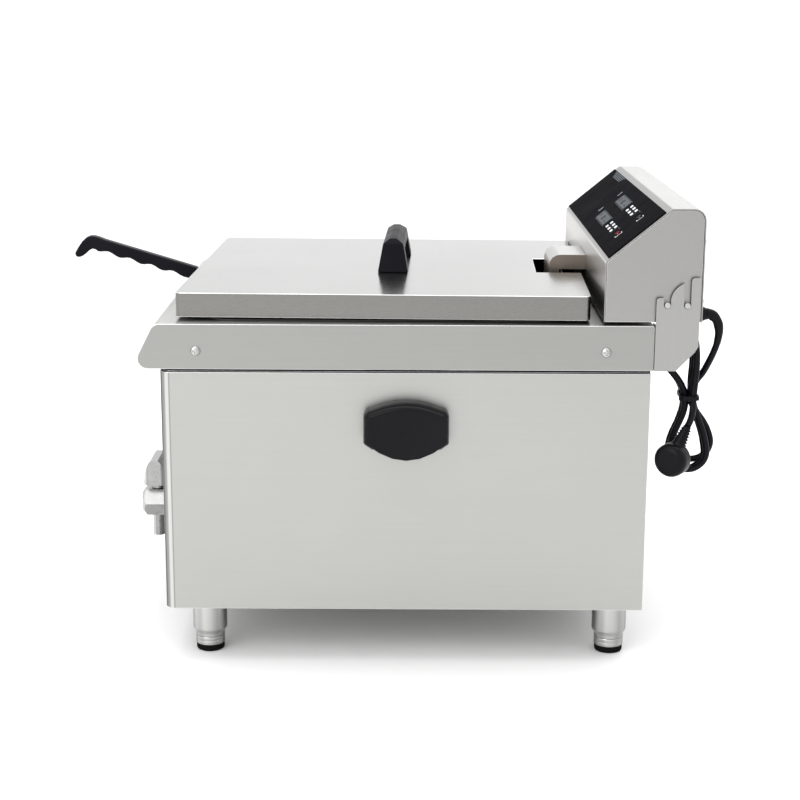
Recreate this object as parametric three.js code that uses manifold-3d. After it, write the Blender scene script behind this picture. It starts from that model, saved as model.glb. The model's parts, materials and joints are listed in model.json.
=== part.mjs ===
// A counter-top electric deep fryer: a steel cabinet on four levelling feet, an oil tank with a drain
// tap, a loose lid, a frying basket, and a lift-off control head that carries the heating elements.
//
// Millimetres, +Z up. X runs from the tap (front) to the head (rear), Y across the cabinet.
// While it is being built, X = 0 is the deck's front line, which the cabinet's front sheet passes by
// its lead, Y = 0 is the cabinet's near side and Z = 0 its lower edge; at the end the whole part is
// moved so that its origin is at the middle of its footprint.
import * as THREE from 'three';
import { mergeVertices } from 'three/addons/utils/BufferGeometryUtils.js';
import Module from 'manifold-3d';

// ---- driving dimensions -------------------------------------------------------------------------

const sheet = 1.2;                 // thickness of the folded steel sheet
const gap = 0.3;                   // clearance between pieces that touch

const cabinet = { long: 500, wide: 440, lead: 1.6, high: 300.9, corner: 11, seam: 254.6, seamDeep: 4 };
const base = { thick: 2, slots: 6, slotWide: 8, slotLong: 120, slotPitch: 40 };
const deck = { top: 304.5, apronBottom: 258, stand: 1.8, bend: 2 };
const nose = { top: 6, topBend: 10, toe: 29.6, toeBend: 10.4 };

const tank = {
  front: 38, rear: 78, side: 30, floor: 45, rim: 331.5, corner: 40, flange: 12, notch: 28, notchDeep: 24,
};

const leg = {
  inFront: 40.5, inRear: 30, inY: 40, r: 18.25, shoulderZ: -34, neckR: 15.6, neckZ: -38, bottom: -42,
  boreClear: 0.4,
};
const foot = { high: 58.5, ringR: 15.5, padR: 15, padHigh: 7.5, stemR: 6, stemTop: -12 };

const carry = {
  offMiddle: 0.8, wide: 87.6, top: 227.4, bottom: 165, sideTop: 218.5, sideBottom: 184, corner: 8, out: 25,
  draft: 7, wall: 3,
};

const valve = {
  x: -38.7, z: 53, hex: 31, front: -55.6, chamfer: 5, rear: -18, ballR: 10.5, bore: 5, spoutR: 6.5,
  spoutZ: 12,
};
const pipe = { r: 10, bore: 7.5 };
const lever = { stemR: 3.5, hubZ: 69, hubR: 7, lipZ: 77, lip: 13, top: 107, topHalf: 4, half: 24 };

const lid = {
  frontIn: 19.7, rearIn: 6.3, clear: 0.5, side: 15, offMiddle: -2, skirtLift: 3.5, corner: 7, turn: -1.7,
  rearAround: 16, rearDeep: 49, frontNotch: 30, frontDeep: 12,
};
const bridge = { x: 5.5, y: 12, long: 150, wide: 33, topWide: 22, high: 36, leg: 26, thick: 14, chamfer: 5 };

const basket = {
  front: 22, rear: 32, side: 25, floor: 120, high: 170, wall: 0.8, corner: 25, rimOut: 2, rimHigh: 6,
  rimWide: 5,
};
const arm = { r: 3, half: 4, clear: 1.5, bend: 10, low: 150, inGrip: 16.5, gripZ: 320.5 };
const grip = { thick: 14, slope: 16.6, hollows: 4, hollowDeep: 1.6 };

const head = {
  front: 50, rear: 49.5, bottom: 308, frontTop: 369.7, top: 423, slopeRun: 64.9, bend: 6, rearBend: 12,
  rearSeam: 398, inset: 1,
};
const panel = { side: 4, wide: 73, start: 4.3, thick: 1.2 };
const display = { long: 68, wide: 12, thick: 0.6, offMiddle: -19, rows: [23, 50.5] };
const board = { lower: 8, upper: 12, near: 141, far: 59, below: 14, thick: 1.6 };
const reset = { z: 345, r: 6, stemR: 3, out: 5.5, stemBack: 18.5, rimBack: 3 };
const gland = { r: 6, flangeR: 7.5, inside: 1.5, flangeLong: 3.5, long: 6.8 };
const contactor = { behind: 30, long: 45, fromFar: 80, wide: 60, high: 55 };
const terminals = { behind: 50, long: 30, fromNear: 40, wide: 60, high: 22 };
const thermostat = { stemIn: 4, long: 42, half: 22, under: 20, over: 22 };

const element = {
  count: 3, r: 4.2, apart: 1, z: 90, lateralIn: 27, lateralStep: 17, farIn: 72, sideIn: 40, innerHalf: 40,
  bend: 8, intoHead: 22,
};
const probe = { r: 2, apart: 1.1, z: 110, reachIn: 122, bend: 6 };
const neck = {
  offMiddle: 3, high: 16.5, overRim: 1, fromTank: 1.5, down: 298, bend: 12, sideClear: 1, depthClear: 0.35,
  intoHead: 4,
};
const support = { wide: 14, thick: 1.5, past: 10 };

const bracket = {
  thick: 2, behind: 46, bottom: 258.4, flange: 18, pinR: 3, pinClear: 0.4, pinOut: 2.2, shoulder: 25.7,
  finger: 40.6, horn: 46.2, cut: 22, cutHigh: 19.4, heel: 3.6, heelHigh: 25.6, hornBend: 4.7, fingerBend: 3.7,
};
const pins = [{ name: 'front', behind: 13.1, up: 18.5 }, { name: 'rear', behind: 33.3, up: 18.1 }];

const cord = {
  r: 3.5, y: 18, z: 314, tieX: 544, tieZ: 225, layers: 3, pitch: 7.8, farY: 46, room: 0.6, squeeze: 0.9,
  tieHalf: 5, fold: { x: 528.5, z: 279.5, r: 19.5 }, lowFold: { x: 548.5, z: 168.5, r: 25.5 }, foldIn: 6,
};
const strap = { half: 2.4, thick: 1.2 };
const plug = {
  x: 524.5, y: 1.6, z: 164, turn: 33, r: 17.6, thick: 20, bevel: 4, edge: 1, pinR: 2.4, pinLong: 15,
  pinHalf: 9.5, pinSide: 3.5, boot: { x: 15.5, y: 6.4, z: 33, r: 7.5, topR: 4.6 },
};

// ---- looks --------------------------------------------------------------------------------------

const looks = {
  steel: { color: 0xc8c8c4, roughness: 0.38, metalness: 1 },
  polished: { color: 0xdcdcd8, roughness: 0.2, metalness: 1 },
  wire: { color: 0xd0d0cc, roughness: 0.25, metalness: 1 },
  element: { color: 0x8c8a86, roughness: 0.45, metalness: 1 },
  blackPlastic: { color: 0x1b1b1d, roughness: 0.35, metalness: 0 },
  panelFilm: { color: 0x26262a, roughness: 0.12, metalness: 0 },
  displayLens: { color: 0x5a6068, roughness: 0.1, metalness: 0 },
  rubber: { color: 0x161616, roughness: 0.8, metalness: 0 },
  cordCover: { color: 0x141414, roughness: 0.55, metalness: 0 },
  board: { color: 0x2d5a3a, roughness: 0.6, metalness: 0 },
  greyPlastic: { color: 0x6f7072, roughness: 0.5, metalness: 0 },
  redPlastic: { color: 0xa8231c, roughness: 0.4, metalness: 0 },
  brass: { color: 0xb89a55, roughness: 0.35, metalness: 1 },
};

// ---- shapes -------------------------------------------------------------------------------------

const wasm = await Module();
wasm.setup();

const part = new THREE.Group();
const V = (x, y, z = 0) => new THREE.Vector3(x, y, z);
const degrees = (angle) => (angle * Math.PI) / 180;

function solid(geometry) {
  const bare = geometry.clone();
  bare.deleteAttribute('normal');
  bare.deleteAttribute('uv');
  const merged = mergeVertices(bare, 1e-4);
  return new wasm.Manifold(
    new wasm.Mesh({
      numProp: 3,
      vertProperties: new Float32Array(merged.attributes.position.array),
      triVerts: new Uint32Array(merged.index.array),
    }),
  );
}

function geometryOf(shape) {
  const made = shape.getMesh();
  const geometry = new THREE.BufferGeometry();
  geometry.setAttribute('position', new THREE.BufferAttribute(made.vertProperties, 3));
  geometry.setIndex(new THREE.BufferAttribute(made.triVerts, 1));
  geometry.computeVertexNormals();
  return geometry;
}

// one named piece; where a piece is cut or joined, the shape is already a boolean solid
function add(name, shape, look, parent = part) {
  const geometry = shape.isBufferGeometry ? shape : geometryOf(shape);
  const mesh = new THREE.Mesh(geometry, new THREE.MeshStandardMaterial(looks[look]));
  mesh.name = name;
  parent.add(mesh);
  return mesh;
}

// a rectangular block between two corners
function block(x0, x1, y0, y1, z0, z1) {
  const box = new THREE.BoxGeometry(x1 - x0, y1 - y0, z1 - z0);
  return box.translate((x0 + x1) / 2, (y0 + y1) / 2, (z0 + z1) / 2);
}

// an outline drawn in the plane across an axis and pulled along that axis:
// across x it is drawn in (y, z), across y in (x, z) and across z in (x, y)
function pull(axis, outline, from, to, curveSegments = 4) {
  const depth = to - from;
  const geometry = new THREE.ExtrudeGeometry(outline, { depth, bevelEnabled: false, curveSegments });
  if (axis === 'y') return geometry.translate(0, 0, -to).rotateX(Math.PI / 2);
  geometry.translate(0, 0, from);
  if (axis === 'z') return geometry;
  return geometry.applyMatrix4(new THREE.Matrix4().makeBasis(V(0, 1, 0), V(0, 0, 1), V(1, 0, 0)));
}

function roundRect(x0, x1, y0, y1, r) {
  const quarter = Math.PI / 2;
  const outline = new THREE.Shape();
  outline.absarc(x1 - r, y0 + r, r, -quarter, 0);
  outline.absarc(x1 - r, y1 - r, r, 0, quarter);
  outline.absarc(x0 + r, y1 - r, r, quarter, 2 * quarter);
  outline.absarc(x0 + r, y0 + r, r, 2 * quarter, 3 * quarter);
  outline.closePath();
  return outline;
}

// a line through corners, each rounded to its radius
function rounded(corners, radius, steps = 3) {
  const line = [corners[0]];
  for (let i = 1; i < corners.length - 1; i++) {
    const r = Array.isArray(radius) ? radius[i] : radius;
    if (!r) {
      line.push(corners[i]);
      continue;
    }
    const back = corners[i - 1].clone().sub(corners[i]).normalize();
    const on = corners[i + 1].clone().sub(corners[i]).normalize();
    const angle = back.angleTo(on);
    const inward = back.clone().add(on).normalize();
    const centre = corners[i].clone().addScaledVector(inward, r / Math.sin(angle / 2));
    const start = corners[i].clone().addScaledVector(back, r / Math.tan(angle / 2)).sub(centre);
    for (let k = 0; k <= steps; k++) {
      const turn = ((Math.PI - angle) * k) / steps;
      const point = centre.clone().addScaledVector(start, Math.cos(turn));
      line.push(point.addScaledVector(back, -r * Math.sin(turn)));
    }
  }
  line.push(corners[corners.length - 1]);
  return line;
}

const outlineOf = (points) => new THREE.Shape(points.map((p) => new THREE.Vector2(p.x, p.y)));

// the line moved sideways by a distance, to its right as it runs
function offset(line, distance) {
  return line.map((p, i) => {
    const before = line[Math.max(i - 1, 0)];
    const after = line[Math.min(i + 1, line.length - 1)];
    const a = (i ? p.clone().sub(before) : after.clone().sub(p)).normalize();
    const b = (i < line.length - 1 ? after.clone().sub(p) : p.clone().sub(before)).normalize();
    const normal = V(a.y + b.y, -a.x - b.x).normalize();
    return p.clone().addScaledVector(normal, distance / normal.dot(V(a.y, -a.x)));
  });
}

// a folded sheet seen edge on: the outer line, and the same line one thickness further in
const folded = (line, thickness) => outlineOf([...line, ...offset(line, thickness).reverse()]);

// a line with a ring only at each of its points
class BentLine extends THREE.Curve {
  constructor(points) {
    super();
    this.points = points;
  }
  getPoint(t, target = new THREE.Vector3()) {
    const at = t * (this.points.length - 1);
    const i = Math.min(Math.floor(at), this.points.length - 2);
    return target.copy(this.points[i]).lerp(this.points[i + 1], at - i);
  }
  getPointAt(u, target) {
    return this.getPoint(u, target);
  }
  getTangentAt(u, target = new THREE.Vector3()) {
    const i = Math.round(u * (this.points.length - 1));
    const last = this.points.length - 1;
    const back = this.points[Math.max(i, 1)].clone().sub(this.points[Math.max(i, 1) - 1]).normalize();
    const next = Math.min(i, last - 1);
    const on = this.points[next + 1].clone().sub(this.points[next]).normalize();
    return target.copy(back).add(on).normalize();
  }
}

function tube(points, r, sides = 8) {
  const ring = [...Array(sides).keys()].map((i) => {
    const turn = (2 * Math.PI * i) / sides;
    return V(r * Math.cos(turn), r * Math.sin(turn));
  });
  const extrudePath = new BentLine(points);
  const steps = points.length - 1;
  return new THREE.ExtrudeGeometry(outlineOf(ring), { steps, extrudePath, bevelEnabled: false });
}

// a turned piece on a vertical axis: [radius, height] pairs from the axis and back to it
function turned(profile, x, y, segments = 20) {
  const points = profile.map(([r, z]) => new THREE.Vector2(r, z));
  return new THREE.LatheGeometry(points, segments).rotateX(Math.PI / 2).translate(x, y, 0);
}

// a round bar between two points on one axis
function bar(axis, r, from, to, a, b, segments = 20) {
  const rod = turned([[0, from], [r, from], [r, to], [0, to]], 0, 0, segments);
  if (axis === 'z') return rod.translate(a, b, 0);
  if (axis === 'x') return rod.rotateY(Math.PI / 2).translate(0, a, b);
  return rod.rotateX(-Math.PI / 2).translate(a, 0, b);
}

// ---- places that follow from them ---------------------------------------------------------------

const middleY = cabinet.wide / 2;
const tankBox = { x0: tank.front, x1: cabinet.long - tank.rear, y0: tank.side, y1: cabinet.wide - tank.side };
const headX = { front: cabinet.long - head.front, rear: cabinet.long + head.rear };
const lidTop = tank.rim + gap + sheet;
const lidHalf = { x: (headX.front - lid.frontIn - lid.rearIn) / 2, y: middleY - lid.side };
const elementPitch = 2 * element.r + element.apart;
const probeSide = (element.count - 0.5) * elementPitch + element.r + probe.apart + probe.r;
const neckHalf = probeSide + probe.r + neck.sideClear + sheet;
const neckX = { rear: tankBox.x1 - neck.fromTank };
neckX.front = neckX.rear - 2 * (element.r + neck.depthClear + sheet);
const neckY = middleY + neck.offMiddle;
const neckBottom = tank.rim + neck.overRim;
const neckTop = neckBottom + neck.high;
const riseX = (neckX.front + neckX.rear) / 2;
const riseZ = (neckBottom + neckTop) / 2 + 0.25;
const legY = [leg.inY, cabinet.wide - leg.inY];
const legPlaces = [leg.inFront, cabinet.long - leg.inRear].flatMap((x) => legY.map((y) => [x, y]));
const pinPlaces = pins.map((pin) => ({ ...pin, x: cabinet.long + pin.behind, z: head.bottom + pin.up }));

// ---- cabinet ------------------------------------------------------------------------------------

// the wall stops short of the deck's apron and goes on above that seam further in
function cabinetPieces() {
  const { long, wide, lead, high, corner, seam, seamDeep } = cabinet;
  const past = 60;
  const shellOf = (inset, from, to) => {
    const plan = roundRect(inset - lead, long + past, inset, wide - inset, corner - inset);
    return solid(pull('z', plan, from, to));
  };
  const outer = shellOf(0, 0, seam).add(shellOf(seamDeep, seam - 1, high));
  const collar = shellOf(seamDeep + sheet, seam - sheet - 1, high + 1);
  const inner = shellOf(sheet, -1, seam - sheet).add(collar);
  const rearCut = block(long, long + past + 10, -1, wide + 1, -1, high + 1);
  const tapHole = bar('x', pipe.r + gap, -5, 5, middleY, valve.z);
  add('body_shell', outer.subtract(inner).subtract(solid(rearCut)).subtract(solid(tapHole)), 'steel');

  const inside = sheet + gap;
  const rearX = long - sheet - gap;
  const above = inside + seamDeep;
  const lowPanel = block(rearX, rearX + sheet, inside, wide - inside, 0, seam - sheet - gap);
  const highPanel = block(rearX, rearX + sheet, above, wide - above, seam - sheet - gap - 1, high);
  add('rear_panel', solid(lowPanel).add(solid(highPanel)), 'steel');

  const floor = roundRect(inside - lead, long + past, inside, wide - inside, corner - inside);
  const cutTop = base.thick + 1;
  let plate = solid(pull('z', floor, 0, base.thick));
  plate = plate.subtract(solid(block(rearX - gap, long + past + 10, -1, wide + 1, -1, cutTop)));
  for (const [x, y] of legPlaces) plate = plate.subtract(solid(bar('z', foot.stemR + gap, -1, cutTop, x, y)));
  const [halfWide, halfLong] = [base.slotWide / 2, base.slotLong / 2];
  for (let i = 0; i < base.slots; i++) {
    const x = long / 2 + (i - (base.slots - 1) / 2) * base.slotPitch;
    const [x0, x1] = [x - halfWide, x + halfWide];
    const slot = roundRect(x0, x1, middleY - halfLong, middleY + halfLong, halfWide - 0.1);
    plate = plate.subtract(solid(pull('z', slot, -1, cutTop)));
  }
  add('base_plate', plate, 'steel');
}

function legPieces() {
  const bore = foot.stemR + leg.boreClear;
  const boreTop = foot.stemTop + 6;
  const padTop = foot.padHigh - foot.high;
  legPlaces.forEach(([x, y], i) => {
    const sleeve = [
      [0, boreTop], [bore, boreTop], [bore, leg.bottom], [leg.neckR, leg.bottom], [leg.neckR, leg.neckZ],
      [leg.r, leg.shoulderZ], [leg.r, -gap], [0, -gap],
    ];
    add(`leg_${i + 1}`, turned(sleeve, x, y), 'steel');
    const screwFoot = [
      [0, -foot.high], [foot.padR - 1, -foot.high], [foot.padR, -foot.high + 1.5], [foot.padR, padTop],
      [foot.ringR, padTop], [foot.ringR, leg.bottom - gap],
      [foot.stemR, leg.bottom - gap], [foot.stemR, foot.stemTop], [0, foot.stemTop],
    ];
    add(`foot_${i + 1}`, turned(screwFoot, x, y), 'rubber');
  });
}

// the pressed top with its side aprons and the rounded nose that overhangs the front
function deckPiece() {
  const back = cabinet.long + deck.stand;
  const heel = -2 * gap;
  const side = rounded(
    [
      V(back, deck.apronBottom), V(back, deck.top), V(-nose.top, deck.top), V(-nose.toe, deck.apronBottom),
      V(heel, deck.apronBottom),
    ],
    [0, deck.bend, nose.topBend, nose.toeBend, 0],
    5,
  );
  const outer = pull('y', outlineOf(side), -deck.stand, cabinet.wide + deck.stand);
  const skin = offset(side, -sheet);
  skin[0] = V(back - sheet, deck.apronBottom - 1);
  skin[skin.length - 1] = V(heel, deck.apronBottom + sheet);
  skin.push(V(heel, deck.apronBottom - 1));
  const inner = pull('y', outlineOf(skin), -deck.stand + sheet, cabinet.wide + deck.stand - sheet);
  const room = sheet + 2 * gap;
  const { x0, x1, y0, y1 } = tankBox;
  const plan = roundRect(x0 - room, x1 + room, y0 - room, y1 + room, tank.corner + room);
  const hole = pull('z', plan, deck.top - 20, deck.top + 20, 6);
  add('top_deck', solid(outer).subtract(solid(inner)).subtract(solid(hole)), 'steel');
}

function tankPiece() {
  const { x0, x1, y0, y1 } = tankBox;
  const grown = (d) => roundRect(x0 - d, x1 + d, y0 - d, y1 + d, tank.corner + d);
  const wall = solid(pull('z', grown(sheet), tank.floor - sheet, tank.rim, 6));
  const flange = solid(pull('z', grown(tank.flange), deck.top + gap, deck.top + gap + sheet, 6));
  const inside = solid(pull('z', grown(0), tank.floor, tank.rim + 5, 6));
  const half = tank.notch / 2;
  const notchZ = tank.rim - tank.notchDeep;
  const notch = solid(block(x0 - 5, x0 + 5, middleY - half, middleY + half, notchZ, tank.rim + 5));
  const tapHole = solid(bar('x', pipe.r + gap, x0 - 10, x0 + 10, middleY, valve.z));
  add('tank', wall.add(flange).subtract(inside).subtract(notch).subtract(tapHole), 'polished');
}

// one shell pull on each side wall, open underneath for the fingers
function carryHandles() {
  const arch = (shrink, drop) => {
    const half = carry.wide / 2 - shrink;
    const [sideTop, top] = [carry.sideTop - shrink, carry.top - shrink];
    const [sideBottom, bottom] = [carry.sideBottom - drop, carry.bottom - drop];
    const outline = new THREE.Shape();
    outline.moveTo(-half, sideBottom);
    outline.quadraticCurveTo(0, 2 * bottom - sideBottom, half, sideBottom);
    outline.lineTo(half, sideTop - carry.corner);
    outline.quadraticCurveTo(half, sideTop, half - carry.corner, sideTop + 1);
    outline.quadraticCurveTo(0, 2 * top - sideTop - 1, -half + carry.corner, sideTop + 1);
    outline.quadraticCurveTo(-half, sideTop, -half, sideTop - carry.corner);
    outline.closePath();
    return outline;
  };
  const shell = new THREE.ExtrudeGeometry(arch(0, 0), {
    depth: carry.out, bevelEnabled: true, bevelThickness: carry.out / 2, bevelSize: carry.draft,
    bevelOffset: -carry.draft, bevelSegments: 3, curveSegments: 6,
  }).translate(0, 0, -carry.out / 2 + gap).rotateX(Math.PI / 2);
  const half = carry.wide / 2;
  const behind = block(-half - 5, half + 5, -gap, 3 * carry.out, carry.bottom - 20, carry.top + 20);
  const hollow = pull('y', arch(carry.draft + carry.wall, 30), -carry.out + carry.wall, 5, 6);
  const pullShell = solid(shell).subtract(solid(behind)).subtract(solid(hollow));
  const squeeze = (carry.out - gap) / (-gap - pullShell.boundingBox().min[1]);
  const made = geometryOf(pullShell).scale(1, squeeze, 1).translate(0, gap * squeeze - gap, 0);
  const x = cabinet.long / 2 + carry.offMiddle;
  add('carry_handle_near', made.clone().translate(x, 0, 0), 'blackPlastic');
  add('carry_handle_far', made.clone().rotateZ(Math.PI).translate(x, cabinet.wide, 0), 'blackPlastic');
}

// ---- drain tap ----------------------------------------------------------------------------------

function tapPieces() {
  const tubeWall = bar('x', pipe.r, valve.rear + gap, tankBox.x0 - gap, middleY, valve.z);
  const tubeBore = bar('x', pipe.bore, valve.rear - 5, tankBox.x0 + 5, middleY, valve.z);
  add('drain_pipe', solid(tubeWall).subtract(solid(tubeBore)), 'steel');

  const across = valve.hex / 2 / Math.cos(Math.PI / 6);
  const hexBar = solid(bar('x', across, valve.front, valve.rear, middleY, valve.z, 6));
  const chamfered = turned(
    [
      [0, valve.front], [across - valve.chamfer, valve.front], [across, valve.front + valve.chamfer],
      [across, valve.rear - 1], [across - 1, valve.rear], [0, valve.rear],
    ],
    0, 0, 24,
  ).rotateY(Math.PI / 2).translate(0, middleY, valve.z);
  const spout = bar('z', valve.spoutR, valve.spoutZ, valve.z, valve.x, middleY);
  const spoutBore = bar('z', valve.bore, valve.spoutZ - 5, valve.z, valve.x, middleY);
  const seat = new THREE.SphereGeometry(valve.ballR + gap, 20, 14).translate(valve.x, middleY, valve.z);
  const inlet = bar('x', pipe.bore, valve.x, valve.rear + 5, middleY, valve.z);
  const stemBore = bar('z', lever.stemR + gap, valve.z, valve.z + 2 * valve.hex, valve.x, middleY);
  let body = hexBar.intersect(solid(chamfered)).add(solid(spout));
  for (const cut of [spoutBore, seat, inlet, stemBore]) body = body.subtract(solid(cut));
  add('valve_body', body, 'polished');

  const port = valve.bore - 0.5;
  const ball = solid(new THREE.SphereGeometry(valve.ballR, 20, 14).translate(valve.x, middleY, valve.z))
    .subtract(solid(bar('z', port, valve.z - 20, valve.z, valve.x, middleY)))
    .subtract(solid(bar('y', port, middleY, middleY + 20, valve.x, valve.z)));
  add('valve_ball', ball, 'brass');
  const ballTop = valve.z + valve.ballR;
  add('valve_stem', bar('z', lever.stemR, ballTop + gap, lever.hubZ - gap, valve.x, middleY), 'polished');

  // a two-winged handle, bell-shaped seen along its wings
  const hub = bar('z', lever.hubR, lever.hubZ, lever.lipZ + 2, valve.x, middleY);
  const bell = new THREE.Shape();
  bell.moveTo(valve.x - lever.lip, lever.lipZ);
  bell.lineTo(valve.x + lever.lip, lever.lipZ);
  bell.quadraticCurveTo(valve.x + lever.lip - 1, lever.top - 6, valve.x + lever.topHalf, lever.top);
  bell.lineTo(valve.x - lever.topHalf, lever.top);
  bell.quadraticCurveTo(valve.x - lever.lip + 1, lever.top - 6, valve.x - lever.lip, lever.lipZ);
  const wings = pull('y', bell, middleY - lever.half, middleY + lever.half, 5);
  const reach = lever.lip + 1;
  const plan = roundRect(valve.x - reach, valve.x + reach, middleY - lever.half, middleY + lever.half, 8);
  const rounding = solid(pull('z', plan, lever.hubZ, lever.top + 1, 4));
  add('valve_lever', solid(hub).add(solid(wings).intersect(rounding)), 'polished');
}

// ---- lid ----------------------------------------------------------------------------------------

// the lid lies a little askew, with its farthest corner just clear of the head
function lidPieces() {
  const turn = degrees(lid.turn);
  const [a, b] = [lidHalf.x, lidHalf.y];
  const reach = (a - lid.corner) * Math.cos(turn) - (b - lid.corner) * Math.sin(turn) + lid.corner;
  const group = new THREE.Group();
  group.position.set(headX.front - lid.clear - reach, middleY + lid.offMiddle, 0);
  group.rotation.z = turn;
  part.add(group);

  const skirt = deck.top + lid.skirtLift;
  const outer = pull('z', roundRect(-a, a, -b, b, lid.corner), skirt, lidTop);
  const inner = roundRect(-a + sheet, a - sheet, -b + sheet, b - sheet, lid.corner - sheet);
  const cavity = pull('z', inner, skirt - 1, lidTop - sheet);
  const rearHalf = neckHalf + lid.rearAround;
  const rear = block(a - lid.rearDeep, a + 5, -rearHalf, rearHalf, skirt - 1, lidTop + 1);
  const frontHalf = lid.frontNotch / 2;
  const front = block(-a - 5, -a + lid.frontDeep, -frontHalf, frontHalf, skirt - 1, lidTop - sheet);
  const pan = solid(outer).subtract(solid(cavity));
  add('lid', pan.subtract(solid(rear)).subtract(solid(front)), 'polished', group);

  // a black bridge with a gabled top, on two feet
  const [z0, z1] = [lidTop + gap, lidTop + bridge.high];
  const eaves = z1 - bridge.chamfer;
  const [w, t, ridge] = [bridge.wide / 2, bridge.topWide / 2, bridge.topWide / 6];
  const section = outlineOf([V(-w, z0), V(w, z0), V(t, eaves), V(ridge, z1), V(-ridge, z1), V(-t, eaves)]);
  const end = bridge.long / 2;
  const draft = 7;
  const side = [
    V(-end, z0), V(-end + draft, eaves), V(-end + 2 * draft, z1),
    V(end - 2 * draft, z1), V(end - draft, eaves), V(end, z0),
  ];
  const inFoot = end - bridge.leg;
  const under = z1 - bridge.thick;
  const opening = [V(-inFoot, z0 - 2), V(-inFoot + 3, under), V(inFoot - 3, under), V(inFoot, z0 - 2)];
  const handle = solid(pull('y', section, -end - 2, end + 2))
    .intersect(solid(pull('x', outlineOf(side), -w - 2, w + 2)))
    .subtract(solid(pull('x', outlineOf(opening), -w - 5, w + 5)));
  const placed = geometryOf(handle).translate(bridge.x, bridge.y, 0);
  add('lid_handle', placed, 'blackPlastic', group);
}

// ---- basket -------------------------------------------------------------------------------------

function basketPieces() {
  const [x0, x1] = [tankBox.x0 + basket.front, tankBox.x1 - basket.rear];
  const [y0, y1] = [tankBox.y0 + basket.side, tankBox.y1 - basket.side];
  const top = basket.floor + basket.high;
  const grown = (d) => roundRect(x0 - d, x1 + d, y0 - d, y1 + d, basket.corner + d);
  const outer = solid(pull('z', grown(0), basket.floor, top));
  const inner = solid(pull('z', grown(-basket.wall), basket.floor + basket.wall, top + 5));
  add('basket_mesh', outer.subtract(inner), 'wire');
  const rim = grown(basket.rimOut);
  rim.holes.push(grown(basket.rimOut - basket.rimWide));
  add('basket_rim', pull('z', rim, top + gap, top + gap + basket.rimHigh), 'wire');

  // the wire arm runs up the front of the basket, bends over and ends in the grip
  const slope = Math.tan(degrees(grip.slope));
  const armX = x0 - basket.rimOut - arm.clear - arm.r;
  const bendZ = arm.gripZ - (armX - arm.inGrip) * slope;
  const wire = (side) => {
    const y = middleY + side * arm.half;
    return [V(arm.inGrip, y, arm.gripZ), V(armX, y, bendZ), V(armX, y, arm.low)];
  };
  const turnR = arm.half - 0.2;
  const route = rounded([...wire(-1), ...wire(1).reverse()], [0, arm.bend, turnR, turnR, arm.bend, 0], 4);
  add('basket_arm', tube(route, arm.r), 'wire');

  // the grip: a straight bar that rises away from the basket and hooks down at its end,
  // with finger hollows along its underside
  const hollows = { x: -98, z: 348, long: 96, steps: 6 };
  const underside = [];
  for (let i = 0; i <= grip.hollows * hollows.steps; i++) {
    const along = i / (grip.hollows * hollows.steps);
    const wave = grip.hollowDeep * Math.cos(2 * Math.PI * grip.hollows * along);
    underside.push(V(hollows.x + hollows.long * along, hollows.z - hollows.long * along * slope - wave));
  }
  const gripOutline = [
    V(5, 316), V(16, 325), V(13, 328.8), V(-90, 359.6), V(-96, 362), V(-101, 363.5), V(-106, 363.8),
    V(-110.5, 362), V(-115, 358), V(-120, 351), V(-123.4, 345.2), V(-124, 342.8), V(-122.6, 340.7),
    V(-120.4, 339.8), V(-118, 340), V(-115, 341.2), V(-111.5, 343.8), V(-108, 347.2), V(-104, 349.3),
    V(-101, 349.1),
    ...underside,
  ];
  const half = grip.thick / 2;
  const handle = pull('y', outlineOf(gripOutline.reverse()), middleY - half, middleY + half);
  add('basket_grip', handle, 'blackPlastic');
}

// ---- control head -------------------------------------------------------------------------------

const slopeFoot = V(headX.front, head.frontTop);
const slopeTop = V(headX.front + head.slopeRun, head.top);
const slopeAngle = Math.atan2(slopeTop.y - slopeFoot.y, slopeTop.x - slopeFoot.x);

// a thin plate lying on the sloping face: along it, across it, and above it
function onSlope(s0, s1, y0, y1, h0, h1) {
  const plate = block(s0, s1, y0, y1, h0, h1).rotateY(-slopeAngle);
  return plate.translate(slopeFoot.x, 0, slopeFoot.y);
}

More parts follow.
